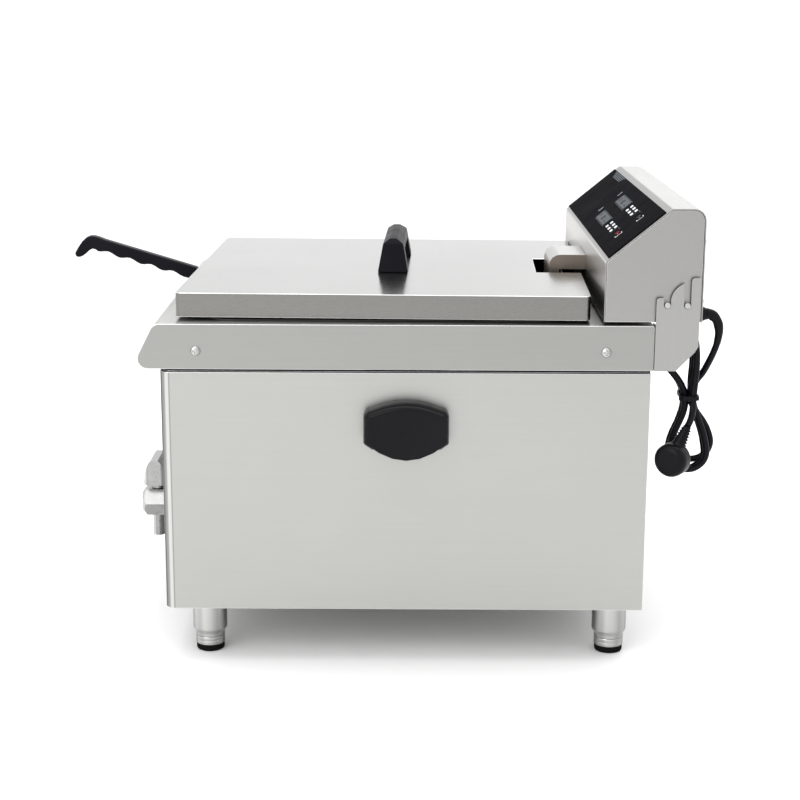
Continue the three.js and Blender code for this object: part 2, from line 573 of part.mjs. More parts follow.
function headPieces() {
  const wide = cabinet.wide;
  const [rearTop, rearSeam] = [V(headX.rear, head.top), V(headX.rear, head.rearSeam)];
  const corners = [V(headX.front, head.bottom), slopeFoot, slopeTop, rearTop, rearSeam];
  const skin = rounded(corners, [0, head.bend, head.bend, head.rearBend, 0], 4);
  const neckHole = block(
    headX.front - 5, headX.front + 5, neckY - neckHalf - gap, neckY + neckHalf + gap,
    neckBottom - gap, neckTop + gap,
  );
  add('head_shell', solid(pull('y', folded(skin, sheet), 0, wide)).subtract(solid(neckHole)), 'steel');

  const lining = offset(skin, sheet + gap);
  const rearX = headX.rear - sheet - gap;
  const sideOutline = outlineOf([...lining.slice(0, -1), V(rearX, head.rearSeam), V(rearX, head.bottom)]);
  add('head_side_near', pull('y', sideOutline, head.inset, head.inset + sheet), 'steel');
  add('head_side_far', pull('y', sideOutline, wide - head.inset - sheet, wide - head.inset), 'steel');

  const buttonHole = bar('x', reset.r + gap, headX.rear - 10, headX.rear + 10, middleY, reset.z);
  const cordHole = bar('x', gland.r + gap, headX.rear - 10, headX.rear + 10, cord.y, cord.z);
  const cover = solid(block(headX.rear - sheet, headX.rear, 0, wide, head.bottom, head.rearSeam - gap));
  add('head_rear_cover', cover.subtract(solid(buttonHole)).subtract(solid(cordHole)), 'steel');

  const floorY = head.inset + sheet + gap;
  const floorZ = head.bottom + gap;
  const floorX = headX.front + sheet + gap;
  add('head_floor', block(floorX, rearX - gap, floorY, wide - floorY, floorZ, floorZ + sheet), 'steel');

  const end = panel.start + panel.wide;
  const film = onSlope(panel.start, end, panel.side, wide - panel.side, gap, gap + panel.thick);
  add('control_panel', film, 'panelFilm');
  const lens = panel.thick + 2 * gap;
  const displayY = middleY + display.offMiddle;
  const [halfLong, halfWide] = [display.long / 2, display.wide / 2];
  display.rows.forEach((row, i) => {
    const s = panel.start + row;
    const [near, far] = [displayY - halfLong, displayY + halfLong];
    const window = onSlope(s - halfWide, s + halfWide, near, far, lens, lens + display.thick);
    add(`display_window_${i + 1}`, window, 'displayLens');
  });
}

// what works inside the head
function headInside() {
  const displayY = middleY + display.offMiddle;
  const [low, high] = [panel.start + board.lower, panel.start + panel.wide - board.upper];
  const [near, far] = [displayY - board.near, displayY + board.far];
  const circuit = onSlope(low, high, near, far, -board.below, board.thick - board.below);
  add('circuit_board', circuit, 'board');
  const floor = head.bottom + 2 * gap + sheet;
  const { front, rear } = headX;
  const onFloor = (item, y) => {
    const x = front + item.behind;
    return block(x, x + item.long, y, y + item.wide, floor, floor + item.high);
  };
  const contactorY = cabinet.wide - contactor.fromFar - contactor.wide;
  add('contactor', onFloor(contactor, contactorY), 'greyPlastic');
  add('terminal_block', onFloor(terminals, terminals.fromNear), 'greyPlastic');
  const stemX = rear - reset.stemBack;
  const bodyX = stemX - thermostat.stemIn;
  const { half, under, over } = thermostat;
  const [z0, z1] = [reset.z - under, reset.z + over];
  const thermostatBody = block(bodyX - thermostat.long, bodyX, middleY - half, middleY + half, z0, z1);
  add('safety_thermostat', thermostatBody, 'greyPlastic');
  const rimX = rear - reset.rimBack;
  const button = [
    [0, stemX], [reset.stemR, stemX], [reset.stemR, rimX], [reset.r, rimX], [reset.r, rear + reset.out - 1.5],
    [reset.r - 1.2, rear + reset.out], [0, rear + reset.out],
  ];
  const pressed = turned(button, 0, 0, 16).rotateY(Math.PI / 2);
  add('reset_button', pressed.translate(0, middleY, reset.z), 'redPlastic');
}

// the bridge that carries the heating elements from the head over the tank's rear rim
function neckPiece() {
  const into = headX.front + neck.intoHead;
  const bent = [V(neckX.front, neck.down), V(neckX.front, neckTop), V(into, neckTop)];
  const line = rounded(bent, [0, neck.bend, 0], 4);
  const full = outlineOf([...line, V(into, neckBottom), V(neckX.rear, neckBottom), V(neckX.rear, neck.down)]);
  const below = neck.down - 5;
  const beyond = into + 6;
  const lined = rounded(
    [V(neckX.front + sheet, below), V(neckX.front + sheet, neckTop - sheet), V(beyond, neckTop - sheet)],
    [0, neck.bend - sheet, 0],
    4,
  );
  const rearIn = neckX.rear - sheet;
  const inner = [V(beyond, neckBottom + sheet), V(rearIn, neckBottom + sheet), V(rearIn, below)];
  const outer = solid(pull('y', full, neckY - neckHalf, neckY + neckHalf));
  const innerHalf = neckHalf - sheet;
  const hollow = pull('y', outlineOf([...lined, ...inner]), neckY - innerHalf, neckY + innerHalf);
  add('element_neck', outer.subtract(solid(hollow)), 'polished');
}

// flat loops, one inside the other, with their ends side by side in the neck
function elements() {
  const inHead = headX.front + element.intoHead;
  const outerHalf = middleY - tankBox.y0 - element.sideIn;
  const stepIn = (outerHalf - element.innerHalf) / (element.count - 1);
  for (let i = 0; i < element.count; i++) {
    const reach = (element.count - 0.5 - i) * elementPitch;
    const lateral = tankBox.x1 - element.lateralIn - i * element.lateralStep;
    const farX = tankBox.x0 + element.farIn + i * stepIn;
    const half = outerHalf - i * stepIn;
    const rise = (side) => {
      const y = neckY + side * reach;
      return [V(inHead, y, riseZ), V(riseX, y, riseZ), V(riseX, y, element.z), V(lateral, y, element.z)];
    };
    const out = (side) => [lateral, farX].map((x) => V(x, middleY + side * half, element.z));
    const loop = [...rise(-1), ...out(-1), ...out(1).reverse(), ...rise(1).reverse()];
    add(`heating_element_${i + 1}`, tube(rounded(loop, element.bend, 3), element.r), 'element');
  }
  const low = element.z - element.r - gap;
  const middleX = (tankBox.x0 + tankBox.x1) / 2;
  const [x0, x1] = [middleX - support.wide / 2, middleX + support.wide / 2];
  const span = [middleY - outerHalf - support.past, middleY + outerHalf + support.past];
  let rack = solid(block(x0, x1, span[0], span[1], low - support.thick, low));
  for (const y of [span[0], span[1] - support.thick]) {
    rack = rack.add(solid(block(x0, x1, y, y + support.thick, tank.floor + gap, low - support.thick / 2)));
  }
  add('element_support', rack, 'polished');
  ['temperature_probe', 'limit_probe'].forEach((name, i) => {
    const y = neckY + (i ? probeSide : -probeSide);
    const tip = V(tankBox.x1 - probe.reachIn, y, probe.z);
    const line = rounded([V(inHead, y, riseZ), V(riseX, y, riseZ), V(riseX, y, probe.z), tip], probe.bend, 3);
    add(name, tube(line, probe.r, 6), 'polished');
  });
}

// slotted plates on the cabinet's rear edge: two pins on each side of the head sit in them
function bracketPieces() {
  const [front, rear] = pinPlaces;
  const left = cabinet.long + deck.stand + gap;
  const right = cabinet.long + bracket.behind;
  const slot = bracket.pinR + bracket.pinClear;
  const { bottom } = bracket;
  const heights = [bracket.shoulder, bracket.finger, bracket.horn];
  const [shoulder, finger, horn] = heights.map((z) => head.bottom + z);
  const outline = new THREE.Shape();
  outline.moveTo(left, bottom);
  outline.lineTo(right - bracket.cut, bottom);
  outline.lineTo(right - bracket.heel, bottom + bracket.cutHigh);
  outline.lineTo(right, bottom + bracket.heelHigh);
  outline.lineTo(right, horn);
  outline.lineTo(right - 5.5, horn);
  outline.quadraticCurveTo(rear.x + slot, horn, rear.x + slot, horn - bracket.hornBend);
  outline.lineTo(rear.x + slot, rear.z);
  outline.absarc(rear.x, rear.z, slot, 0, -Math.PI, true);
  outline.lineTo(rear.x - slot, finger);
  outline.quadraticCurveTo(front.x + slot + 3, finger - 4.1, front.x + slot, shoulder - 0.7);
  outline.lineTo(front.x + slot, front.z);
  outline.absarc(front.x, front.z, slot, 0, -Math.PI, true);
  outline.lineTo(front.x - slot, shoulder);
  outline.lineTo(left + 3.5, shoulder);
  outline.quadraticCurveTo(left, shoulder, left, shoulder - bracket.fingerBend);
  outline.closePath();
  const reach = deck.stand + gap + bracket.thick;
  const flangeTop = head.bottom - 4;
  for (const [side, y] of [['near', -reach], ['far', cabinet.wide + reach - bracket.thick]]) {
    const plate = solid(pull('y', outline, y, y + bracket.thick));
    const inner = side === 'near' ? [y, bracket.flange] : [cabinet.wide - bracket.flange, y + bracket.thick];
    const flange = solid(block(left, left + bracket.thick, inner[0], inner[1], bottom, flangeTop));
    add(`bracket_${side}`, plate.add(flange), 'steel');
  }
  const out = reach + bracket.pinOut;
  const inset = head.inset - gap;
  for (const pin of pinPlaces) {
    const { wide } = cabinet;
    for (const [side, from, to] of [['near', -out, inset], ['far', wide - inset, wide + out]]) {
      add(`pivot_pin_${side}_${pin.name}`, bar('y', bracket.pinR, from, to, pin.x, pin.z, 16), 'polished');
    }
  }
}

// ---- power cord ---------------------------------------------------------------------------------

// the free stretch from the gland to the tied hank that hangs behind the cabinet
const leadRoute = [
  [556.6, 18, 314], [559.6, 18, 313.8], [563.4, 18.3, 311.8], [567.2, 19, 307.6], [569.8, 20.4, 301.4],
  [571, 22.6, 293], [570.2, 26, 282.3], [567.4, 30.4, 270.5], [563.4, 35.2, 258.5], [559.2, 39.6, 248],
  [556.6, 42.4, 241.2],
];
// the last stretch, from the tie down to the plug
const tailRoute = [
  [547.6, 22.2, 218], [547.2, 20.4, 212], [545.6, 16.4, 206], [543, 11.8, 201.2], [541.7, 9.7, 199],
];

function cableGland() {
  const { rear } = headX;
  const bush = [
    [0, rear - gland.inside], [gland.r, rear - gland.inside], [gland.r, rear + gap],
    [gland.flangeR, rear + gap], [gland.flangeR, rear + gland.flangeLong], [gland.r, rear + gland.long],
    [0, rear + gland.long],
  ];
  const lying = turned(bush, 0, 0, 16).rotateY(Math.PI / 2);
  add('cable_gland', lying.translate(0, cord.y, cord.z), 'blackPlastic');
}

function cordPieces() {
  const asPoints = (rows) => rows.map(([x, y, z]) => V(x, y, z));
  add('power_cord', tube(asPoints(leadRoute), cord.r), 'cordCover');
  add('cord_tail', tube(asPoints(tailRoute), cord.r), 'cordCover');

  // the hank: two round-ended lobes of folded cord, drawn in by the tie
  const { tieX, tieZ, tieHalf, foldIn } = cord;
  const waist = 2 * cord.r + cord.squeeze;
  const room = cord.r + cord.room;
  const lobe = ({ x, z, r }, up) => {
    const sign = up ? 1 : -1;
    const half = r + room;
    const outline = new THREE.Shape();
    outline.moveTo(tieX - sign * waist, tieZ + sign * tieHalf);
    outline.lineTo(x - sign * half, z - sign * foldIn);
    outline.absarc(x, z, half, up ? Math.PI : 0, up ? 0 : -Math.PI, true);
    outline.lineTo(x + sign * half, z - sign * foldIn);
    outline.lineTo(tieX + sign * waist, tieZ + sign * tieHalf);
    outline.closePath();
    return outline;
  };
  const [y0, y1] = [cord.farY - (cord.layers - 1) * cord.pitch - room, cord.farY + room];
  const lastY = y0 - cord.pitch;
  const middle = solid(block(tieX - waist, tieX + waist, lastY, y1, tieZ - tieHalf, tieZ + tieHalf));
  const upper = solid(pull('y', lobe(cord.fold, true), lastY, y1, 10));
  const lower = solid(pull('y', lobe(cord.lowFold, false), y0, y1, 10));
  add('cord_hank', middle.add(upper).add(lower), 'cordCover');
  const loop = (out) => roundRect(tieX - waist - out, tieX + waist + out, lastY - out, y1 + out, out - 0.1);
  const band = loop(gap + strap.thick);
  band.holes.push(loop(gap));
  add('cord_tie', pull('z', band, tieZ - strap.half, tieZ + strap.half, 2), 'blackPlastic');

  // a round plug, turned a little away, with a boot that leads up to the cord
  const [y0p, y1p] = [-plug.thick / 2, plug.thick / 2];
  const { r, bevel, edge } = plug;
  const disc = turned(
    [[0, y0p], [r - bevel, y0p], [r, y0p + bevel], [r, y1p - edge], [r - edge, y1p], [0, y1p]],
    0, 0, 24,
  );
  let whole = solid(disc.rotateX(-Math.PI / 2));
  for (const side of [-1, 1]) {
    const pin = bar('y', plug.pinR, y1p - 2, y1p + plug.pinLong, -plug.pinSide, side * plug.pinHalf, 10);
    whole = whole.add(solid(pin));
  }
  const toBoot = V(plug.boot.x, plug.boot.y, plug.boot.z);
  const high = toBoot.length();
  const boot = new THREE.CylinderGeometry(plug.boot.topR, plug.boot.r, high, 12).translate(0, high / 2, 0);
  boot.applyQuaternion(new THREE.Quaternion().setFromUnitVectors(V(0, 1, 0), toBoot.clone().normalize()));
  whole = whole.rotate([0, 0, -plug.turn]).add(solid(boot)).translate([plug.x, plug.y, plug.z]);
  add('plug', whole, 'blackPlastic');
}

cabinetPieces();
legPieces();
deckPiece();
tankPiece();
carryHandles();
tapPieces();
lidPieces();
basketPieces();
headPieces();
headInside();
neckPiece();
elements();
bracketPieces();
cableGland();
cordPieces();

// the origin: the middle of the footprint, cord left out, at the bottom of the feet
const onCord = /^(power_cord|cord_|plug)/;
const footprint = new THREE.Box3();
part.updateMatrixWorld(true);
part.traverse((piece) => {
  if (piece.isMesh && !onCord.test(piece.name)) footprint.expandByObject(piece, true);
});
const centre = footprint.getCenter(new THREE.Vector3());
part.position.set(-centre.x, -centre.y, -footprint.min.z);

export default part;
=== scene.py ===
import json
import math

import bmesh
import bpy
from mathutils import Matrix, Vector


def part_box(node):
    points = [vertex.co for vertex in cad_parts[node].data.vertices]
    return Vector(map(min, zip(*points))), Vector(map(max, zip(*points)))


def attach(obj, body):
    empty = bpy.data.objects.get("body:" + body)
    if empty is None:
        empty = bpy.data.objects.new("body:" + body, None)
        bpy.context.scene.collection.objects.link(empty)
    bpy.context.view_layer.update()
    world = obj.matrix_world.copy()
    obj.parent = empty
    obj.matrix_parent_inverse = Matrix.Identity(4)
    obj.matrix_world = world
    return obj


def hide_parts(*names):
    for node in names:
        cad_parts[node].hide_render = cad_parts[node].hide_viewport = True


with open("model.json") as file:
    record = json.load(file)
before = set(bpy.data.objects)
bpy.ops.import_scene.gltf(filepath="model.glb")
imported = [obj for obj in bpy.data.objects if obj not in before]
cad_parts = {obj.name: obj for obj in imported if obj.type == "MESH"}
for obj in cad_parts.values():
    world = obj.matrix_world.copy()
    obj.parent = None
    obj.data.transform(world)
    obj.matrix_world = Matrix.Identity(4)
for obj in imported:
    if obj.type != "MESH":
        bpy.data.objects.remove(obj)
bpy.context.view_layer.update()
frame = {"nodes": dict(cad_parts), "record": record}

scene = bpy.context.scene
record = frame["record"]
MM = 0.001

# Places below are in millimetres from the design's corner: X towards the control head, Y across to
# the far side, Z up. The cabinet's front sheet stands BODY_AHEAD of it.
BODY_AHEAD = 1.6
CORNER = Vector(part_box("body_shell")[0]) + Vector((BODY_AHEAD, 0, 0)) * MM

BODY_OF = {node: body for body, nodes in record["behaviour"]["bodies"].items() for node in nodes}
SLOT_OF = {entry["node"]: entry["material_slot"] for entry in record["subparts"]}


def at(x, y, z):
    return CORNER + Vector((x, y, z)) * MM


def span(node):
    """A node's lowest and highest corners, in millimetres from the cabinet's corner."""
    low, high = (Vector(corner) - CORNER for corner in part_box(node))
    return low / MM, high / MM


CABINET_LONG, CABINET_WIDE = (span("body_shell")[1][k] for k in (0, 1))
MIDDLE_Y = CABINET_WIDE / 2
GROUND = span("foot_1")[0].z
HEAD_FRONT, HEAD_REAR = span("head_shell")[0].x, span("head_rear_cover")[1].x
DECK_SIDE = -span("top_deck")[0].y
SEAM = 254.6            # height of the groove between the cabinet and the deck's aprons, darkened with painted shade
SEAM_ROOM = 6           # the groove and the aprons' lower edges end this far above it


# ---- camera -------------------------------------------------------------------------------------

def make_camera():
    place = (250, -1706, 628.7)
    pitch, yaw, roll = (math.radians(a) for a in (13.27, -0.19, 0.22))
    forward = Vector((math.sin(yaw) * math.cos(pitch), math.cos(yaw) * math.cos(pitch), -math.sin(pitch)))
    level = Vector((math.cos(yaw), -math.sin(yaw), 0))
    above = level.cross(forward)
    right = level * math.cos(roll) + above * math.sin(roll)
    up = above * math.cos(roll) - level * math.sin(roll)
    data = bpy.data.cameras.new("camera")
    data.sensor_width = 36
    data.lens = 77.18
    data.clip_end = 1000
    camera = bpy.data.objects.new("camera", data)
    axes = Matrix((right, up, -forward)).transposed().to_4x4()
    camera.matrix_world = Matrix.Translation(at(*place)) @ axes
    scene.collection.objects.link(camera)
    scene.camera = camera


# ---- materials ----------------------------------------------------------------------------------

class Finish:
    """A node material: colour, roughness and bump come from textures in object space."""

    def __init__(self, name, metallic=0.0, **constants):
        self.material = bpy.data.materials.new(name)
        self.material.use_nodes = True
        self.nodes = self.material.node_tree.nodes
        self.links = self.material.node_tree.links
        self.shader = self.nodes["Principled BSDF"]
        self.shader.inputs["Metallic"].default_value = metallic
        for socket, value in constants.items():
            self.shader.inputs[socket.replace("_", " ")].default_value = value
        self.place = self.nodes.new("ShaderNodeTexCoord").outputs["Object"]
        self.height = None

    def put(self, socket, value):
        if isinstance(value, (int, float)):
            socket.default_value = value
        else:
            self.links.new(value, socket)

    def noise(self, scale, detail=3.0, stretch=(1, 1, 1), roughness=0.55):
        mapping = self.nodes.new("ShaderNodeMapping")
        mapping.inputs["Scale"].default_value = stretch
        self.links.new(self.place, mapping.inputs["Vector"])
        noise = self.nodes.new("ShaderNodeTexNoise")
        noise.inputs["Scale"].default_value = scale
        noise.inputs["Detail"].default_value = detail
        noise.inputs["Roughness"].default_value = roughness
        self.links.new(mapping.outputs["Vector"], noise.inputs["Vector"])
        return noise.outputs["Fac"]

    def cells(self, scale):
        voronoi = self.nodes.new("ShaderNodeTexVoronoi")
        voronoi.inputs["Scale"].default_value = scale
        self.links.new(self.place, voronoi.inputs["Vector"])
        return voronoi.outputs["Distance"]

    def ramp(self, value, low, high, to_low, to_high):
        spread = self.nodes.new("ShaderNodeMapRange")
        for socket, number in zip(("From Min", "From Max", "To Min", "To Max"), (low, high, to_low, to_high)):
            spread.inputs[socket].default_value = number
        self.links.new(value, spread.inputs["Value"])
        return spread.outputs["Result"]

    def math(self, operation, a, b):
        node = self.nodes.new("ShaderNodeMath")
        node.operation = operation
        self.put(node.inputs[0], a)
        self.put(node.inputs[1], b)
        return node.outputs[0]

    def mix(self, factor, one, two):
        """A colour between two, each a colour or a colour socket."""
        node = self.nodes.new("ShaderNodeMix")
        node.data_type = "RGBA"
        self.put(node.inputs["Factor"], factor)
        for socket, colour in ((node.inputs["A"], one), (node.inputs["B"], two)):
            if isinstance(colour, (tuple, list)):
                socket.default_value = (*colour, 1)
            else:
                self.links.new(colour, socket)
        return node.outputs["Result"]

    def by_normal(self, axis, stops):
        """A grey that follows one part of the surface's normal: (normal, grey) pairs; it paints light and
        shade by which way the surface faces.
        """
        normal = self.nodes.new("ShaderNodeTexCoord").outputs["Normal"]
        parts = self.nodes.new("ShaderNodeSeparateXYZ")
        self.links.new(normal, parts.inputs[0])
        ramp = self.nodes.new("ShaderNodeValToRGB")
        self.links.new(self.ramp(parts.outputs[axis], -1, 1, 0, 1), ramp.inputs[0])
        elements = ramp.color_ramp.elements
        while len(elements) < len(stops):
            elements.new(0.5)
        for element, (at_normal, grey) in zip(elements, stops):
            element.position = (at_normal + 1) / 2
            element.color = (grey, grey, grey, 1)
        return ramp.outputs["Color"]

    def by_height(self, low, high):
        """0 at and below one height, 1 at and above the other, in design millimetres."""
        parts = self.nodes.new("ShaderNodeSeparateXYZ")
        self.links.new(self.place, parts.inputs[0])
        return self.ramp(parts.outputs["Z"], at(0, 0, low).z, at(0, 0, high).z, 0, 1)

    def times(self, colour, factor):
        node = self.nodes.new("ShaderNodeMix")
        node.data_type = "RGBA"
        node.blend_type = "MULTIPLY"
        node.inputs["Factor"].default_value = 1
        self.links.new(colour, node.inputs["A"])
        self.links.new(factor, node.inputs["B"])
        return node.outputs["Result"]

    def bump(self, height, strength, distance):
        node = self.nodes.new("ShaderNodeBump")
        node.inputs["Strength"].default_value = strength
        node.inputs["Distance"].default_value = distance
        self.links.new(height, node.inputs["Height"])
        if self.height:
            self.links.new(self.height, node.inputs["Normal"])
        self.height = node.outputs["Normal"]

    def done(self, colour, roughness):
        self.links.new(colour, self.shader.inputs["Base Color"])
        self.put(self.shader.inputs["Roughness"], roughness)
        if self.height:
            self.links.new(self.height, self.shader.inputs["Normal"])
        return self.material


def shade(tone, factor):
    return tuple(min(1.0, channel * factor) for channel in tone)


def steel(name, tone, roughness, along="x", brush=0.5, smudge=0.04, facing_shade=None, shaded_below=None):
    """Brushed or drawn stainless: long fine streaks, faint clouding, a little uneven gloss.

    The facing shade is painted light and shade, lighter and darker by which way the surface faces: an axis
    and (normal, grey) pairs along it.
    The shade below is the pair of heights, in design millimetres, between which painted shade clears from
    near black.
    """
    f = Finish(name, metallic=1.0)
    stretch = {"x": (0.012, 1, 1), "y": (1, 0.012, 1), "z": (1, 1, 0.012)}[along]
    fine = f.noise(1500, 2, stretch, 0.7)
    broad = f.noise(260, 2, stretch, 0.5)
    cloud = f.noise(7, 4)
    streak = f.math("ADD", f.math("MULTIPLY", fine, 0.6), f.math("MULTIPLY", broad, 0.4))
    dark, light = shade(tone, 1 - 0.05 * brush), shade(tone, 1 + 0.04 * brush)
    brushed = f.mix(f.ramp(streak, 0.3, 0.7, 0, 1), dark, light)
    colour = f.mix(f.ramp(cloud, 0.35, 0.7, 0, smudge * 4), brushed, shade(tone, 0.9))
    # painted light and shade by which way the surface faces
    if facing_shade:
        colour = f.times(colour, f.by_normal(*facing_shade))
    if shaded_below:
        # painted shade: near black low down, clearing upward between the two heights
        colour = f.mix(f.by_height(*shaded_below), shade(tone, 0.06), colour)
    uneven = f.ramp(streak, 0.3, 0.7, -0.05 * brush, 0.05 * brush)
    gloss = f.math("ADD", uneven, f.ramp(cloud, 0.3, 0.75, 0, smudge))
    f.bump(streak, 0.10 * brush, 0.0002)
    return f.done(colour, f.math("ADD", gloss, roughness))


def plastic(name, tone, roughness, grain=900, depth=0.12, **constants):
    """Moulded plastic: a fine skin grain, slight flow marks and handled, shinier patches."""
    f = Finish(name, **constants)
    skin = f.noise(grain, 3)
    flow = f.noise(22, 4, (1, 1, 0.4))
    worn = f.noise(45, 5)
    colour = f.mix(f.ramp(flow, 0.3, 0.7, 0, 1), shade(tone, 0.85), shade(tone, 1.2))
    f.bump(skin, depth, 0.0002)
    return f.done(colour, f.math("ADD", f.ramp(worn, 0.35, 0.7, -0.05, 0.06), roughness))


def rubber(name, tone, roughness, **constants):
    """Rubber: matt, finely pitted, with paler dust in places."""
    f = Finish(name, **constants)
    pits = f.cells(1400)
    dust = f.noise(60, 6)
    colour = f.mix(f.ramp(dust, 0.5, 0.8, 0, 0.35), tone, shade(tone, 2.2))
    f.bump(pits, 0.15, 0.0003)
    return f.done(colour, f.ramp(dust, 0.3, 0.8, roughness - 0.06, roughness + 0.08))


def plated(name, tone, roughness, facing_shade=None):
    """Cast and plated metal: soft casting waves under a bright coat, duller in the hollows."""
    f = Finish(name, metallic=1.0)
    waves = f.noise(120, 3)
    specks = f.noise(900, 2)
    colour = f.mix(f.ramp(waves, 0.35, 0.7, 0, 1), shade(tone, 0.88), shade(tone, 1.06))
    # painted light and shade by which way the surface faces
    if facing_shade:
        colour = f.times(colour, f.by_normal(*facing_shade))
    f.bump(waves, 0.12, 0.0006)
    f.bump(specks, 0.05, 0.0002)
    return f.done(colour, f.ramp(waves, 0.3, 0.7, roughness - 0.04, roughness + 0.07))


def heated(name, tone):
    """The elements' sheath: straw and blue heat tints that drift along it, with a carbon film."""
    f = Finish(name, metallic=1.0)
    drift = f.noise(9, 3)
    film = f.noise(80, 5)
    tint = f.mix(f.ramp(drift, 0.35, 0.65, 0, 1), shade(tone, 1.1), (0.36, 0.27, 0.16))
    colour = f.mix(f.ramp(film, 0.45, 0.75, 0, 0.7), tint, (0.07, 0.065, 0.06))
    f.bump(film, 0.15, 0.0003)
    return f.done(colour, f.ramp(film, 0.3, 0.75, 0.32, 0.6))


def printed(name, tone, roughness=0.35):
    """Ink printed on the film: slightly uneven cover."""
    f = Finish(name, IOR=1.03)
    cover = f.noise(2500, 2)
    colour = f.mix(f.ramp(cover, 0.4, 0.7, 0, 1), tone, shade(tone, 0.86))
    return f.done(colour, f.ramp(cover, 0.3, 0.7, roughness - 0.04, roughness + 0.04))


# Painted light and shade by which way a surface faces: an axis, and (part of the normal along it, grey)
# pairs.
BODY_FACING_SHADE = ("X", (
    (-1, 0.95), (-0.998, 0.9), (-0.99, 0.06), (-0.86, 0.12), (-0.76, 0.62), (-0.56, 0.74), (-0.46, 1.35),
    (-0.2, 1.3), (-0.12, 0.58), (-0.05, 0.8), (0, 1), (0.9, 0.8), (1, 0.95),
))
LEG_FACING_SHADE = ("X", (
    (-1, 0.5), (-0.9, 0.75), (-0.76, 1.2), (-0.5, 0.95), (-0.25, 1.22), (0.15, 1.05), (0.5, 0.74),
    (0.8, 0.98), (0.94, 0.5), (1, 0.3),
))
HEAD_FACING_SHADE = ("Z", ((-1, 0.5), (-0.3, 0.9), (0, 1), (0.5, 1), (0.9, 0.66), (1, 0.6)))
DECK_FACING_SHADE = ("Z", ((-1, 0.5), (0, 1), (0.35, 1), (0.65, 1.5), (1, 1.6)))
TAP_FACING_SHADE = ("X", (
    (-1, 0.9), (-0.985, 0.4), (-0.93, 0.62), (-0.8, 1.25), (-0.55, 1.3), (-0.35, 0.7), (-0.1, 0.86),
    (0.3, 1.0), (0.7, 0.62), (1, 0.4),
))
# The cabinet, deck, bright, head and tap finishes carry painted light and shade by facing.
SLOT_FINISH = {
    "cabinet_steel": steel("cabinet_steel", (0.405, 0.405, 0.39), 0.36, "x", 0.6, facing_shade=BODY_FACING_SHADE),
    "deck_steel": steel("deck_steel", (0.315, 0.315, 0.302), 0.34, "x", 0.6, facing_shade=DECK_FACING_SHADE),
    "bright_steel": steel("bright_steel", (0.42, 0.42, 0.41), 0.22, "z", 0.4, facing_shade=LEG_FACING_SHADE),
    "head_steel": steel("head_steel", (0.325, 0.32, 0.312), 0.32, "y", 0.6, facing_shade=HEAD_FACING_SHADE),
    "bracket_steel": steel("bracket_steel", (0.345, 0.342, 0.334), 0.34, "z", 0.5),
    "lid_steel": steel("lid_steel", (0.355, 0.355, 0.345), 0.17, "y", 0.35),
    "wire": steel("wire", (0.66, 0.66, 0.65), 0.18, "z", 0.2),
    "tap_metal": plated("tap_metal", (0.39, 0.39, 0.385), 0.28, TAP_FACING_SHADE),
    "tap_brass": plated("tap_brass", (0.62, 0.48, 0.24), 0.28),
    "element_metal": heated("element_metal", (0.40, 0.39, 0.38)),
    "handle_plastic": plastic(
        "handle_plastic", (0.006, 0.006, 0.007), 0.16, 700, 0.05, Specular_IOR_Level=0.09,
    ),
    "grip_plastic": plastic("grip_plastic", (0.007, 0.007, 0.009), 0.34, 900, 0.12, IOR=1.12),
    "panel_film": plastic("panel_film", (0.006, 0.006, 0.007), 0.3, 1600, 0.02, IOR=1.008),
    "display_lens": plastic("display_lens", (0.07, 0.075, 0.08), 0.3, 1500, 0.02, IOR=1.03),
    "foot_rubber": rubber("foot_rubber", (0.005, 0.005, 0.005), 0.72, IOR=1.1),
    "cord_cover": plastic("cord_cover", (0.004, 0.004, 0.006), 0.34, 1300, 0.1, Specular_IOR_Level=0.1),
    "cord_fittings": plastic(
        "cord_fittings", (0.004, 0.004, 0.005), 0.34, 1000, 0.12, Specular_IOR_Level=0.1,
    ),
    "board": plastic("board", (0.03, 0.14, 0.07), 0.45),
    "inner_plastic": plastic("inner_plastic", (0.20, 0.20, 0.205), 0.5),
    "reset_red": plastic("reset_red", (0.42, 0.02, 0.015), 0.3),
}
# painted shade: the lid's upright skirt is a darker copy of the lid steel
SKIRT_SHADED_STEEL = steel("lid_skirt_shaded_steel", (0.215, 0.21, 0.20), 0.26, "x", 0.5)
# painted light: the head's front face is a lighter copy of the head steel, its lower part in painted shade
FRONT_FACE_LIT_STEEL = steel("head_front_lit_steel", (0.52, 0.51, 0.49), 0.3, "y", 0.5, shaded_below=(318, 352))
# painted highlight: a bright copy of the steel for rounded edges
EDGE_HIGHLIGHT_STEEL = steel("edge_highlight_steel", (0.78, 0.78, 0.78), 0.25, "x", 0.2)
# painted light: the top of the element neck is lighter than its sides
BRIDGE_TOP_LIT_STEEL = steel("bridge_top_lit_steel", (0.40, 0.40, 0.395), 0.3, "x", 0.5)
NECK_STEEL = steel("neck_steel", (0.25, 0.215, 0.185), 0.34, "z", 0.5)
KNOB_PLASTIC = plastic("knob_plastic", (0.009, 0.009, 0.011), 0.3, 900, 0.06, IOR=1.05)
# painted shade: a near-black copy of the steel for the tank's outside under the lid
COLLAR_SHADE_STEEL = steel("tank_collar_shade_steel", (0.05, 0.049, 0.046), 0.3, "x", 0.4)
# painted shade: a near-black matt finish for the groove under the deck's aprons
SEAM_SHADE_BLACK = rubber("seam_painted_shade", (0.006, 0.006, 0.005), 0.7, IOR=1.1)
INK_WHITE = printed("ink_white", (0.62, 0.63, 0.64))
INK_RED = printed("ink_red", (0.45, 0.03, 0.05))
INK_GREY = printed("ink_grey", (0.10, 0.11, 0.12))


# ---- making pieces ------------------------------------------------------------------------------

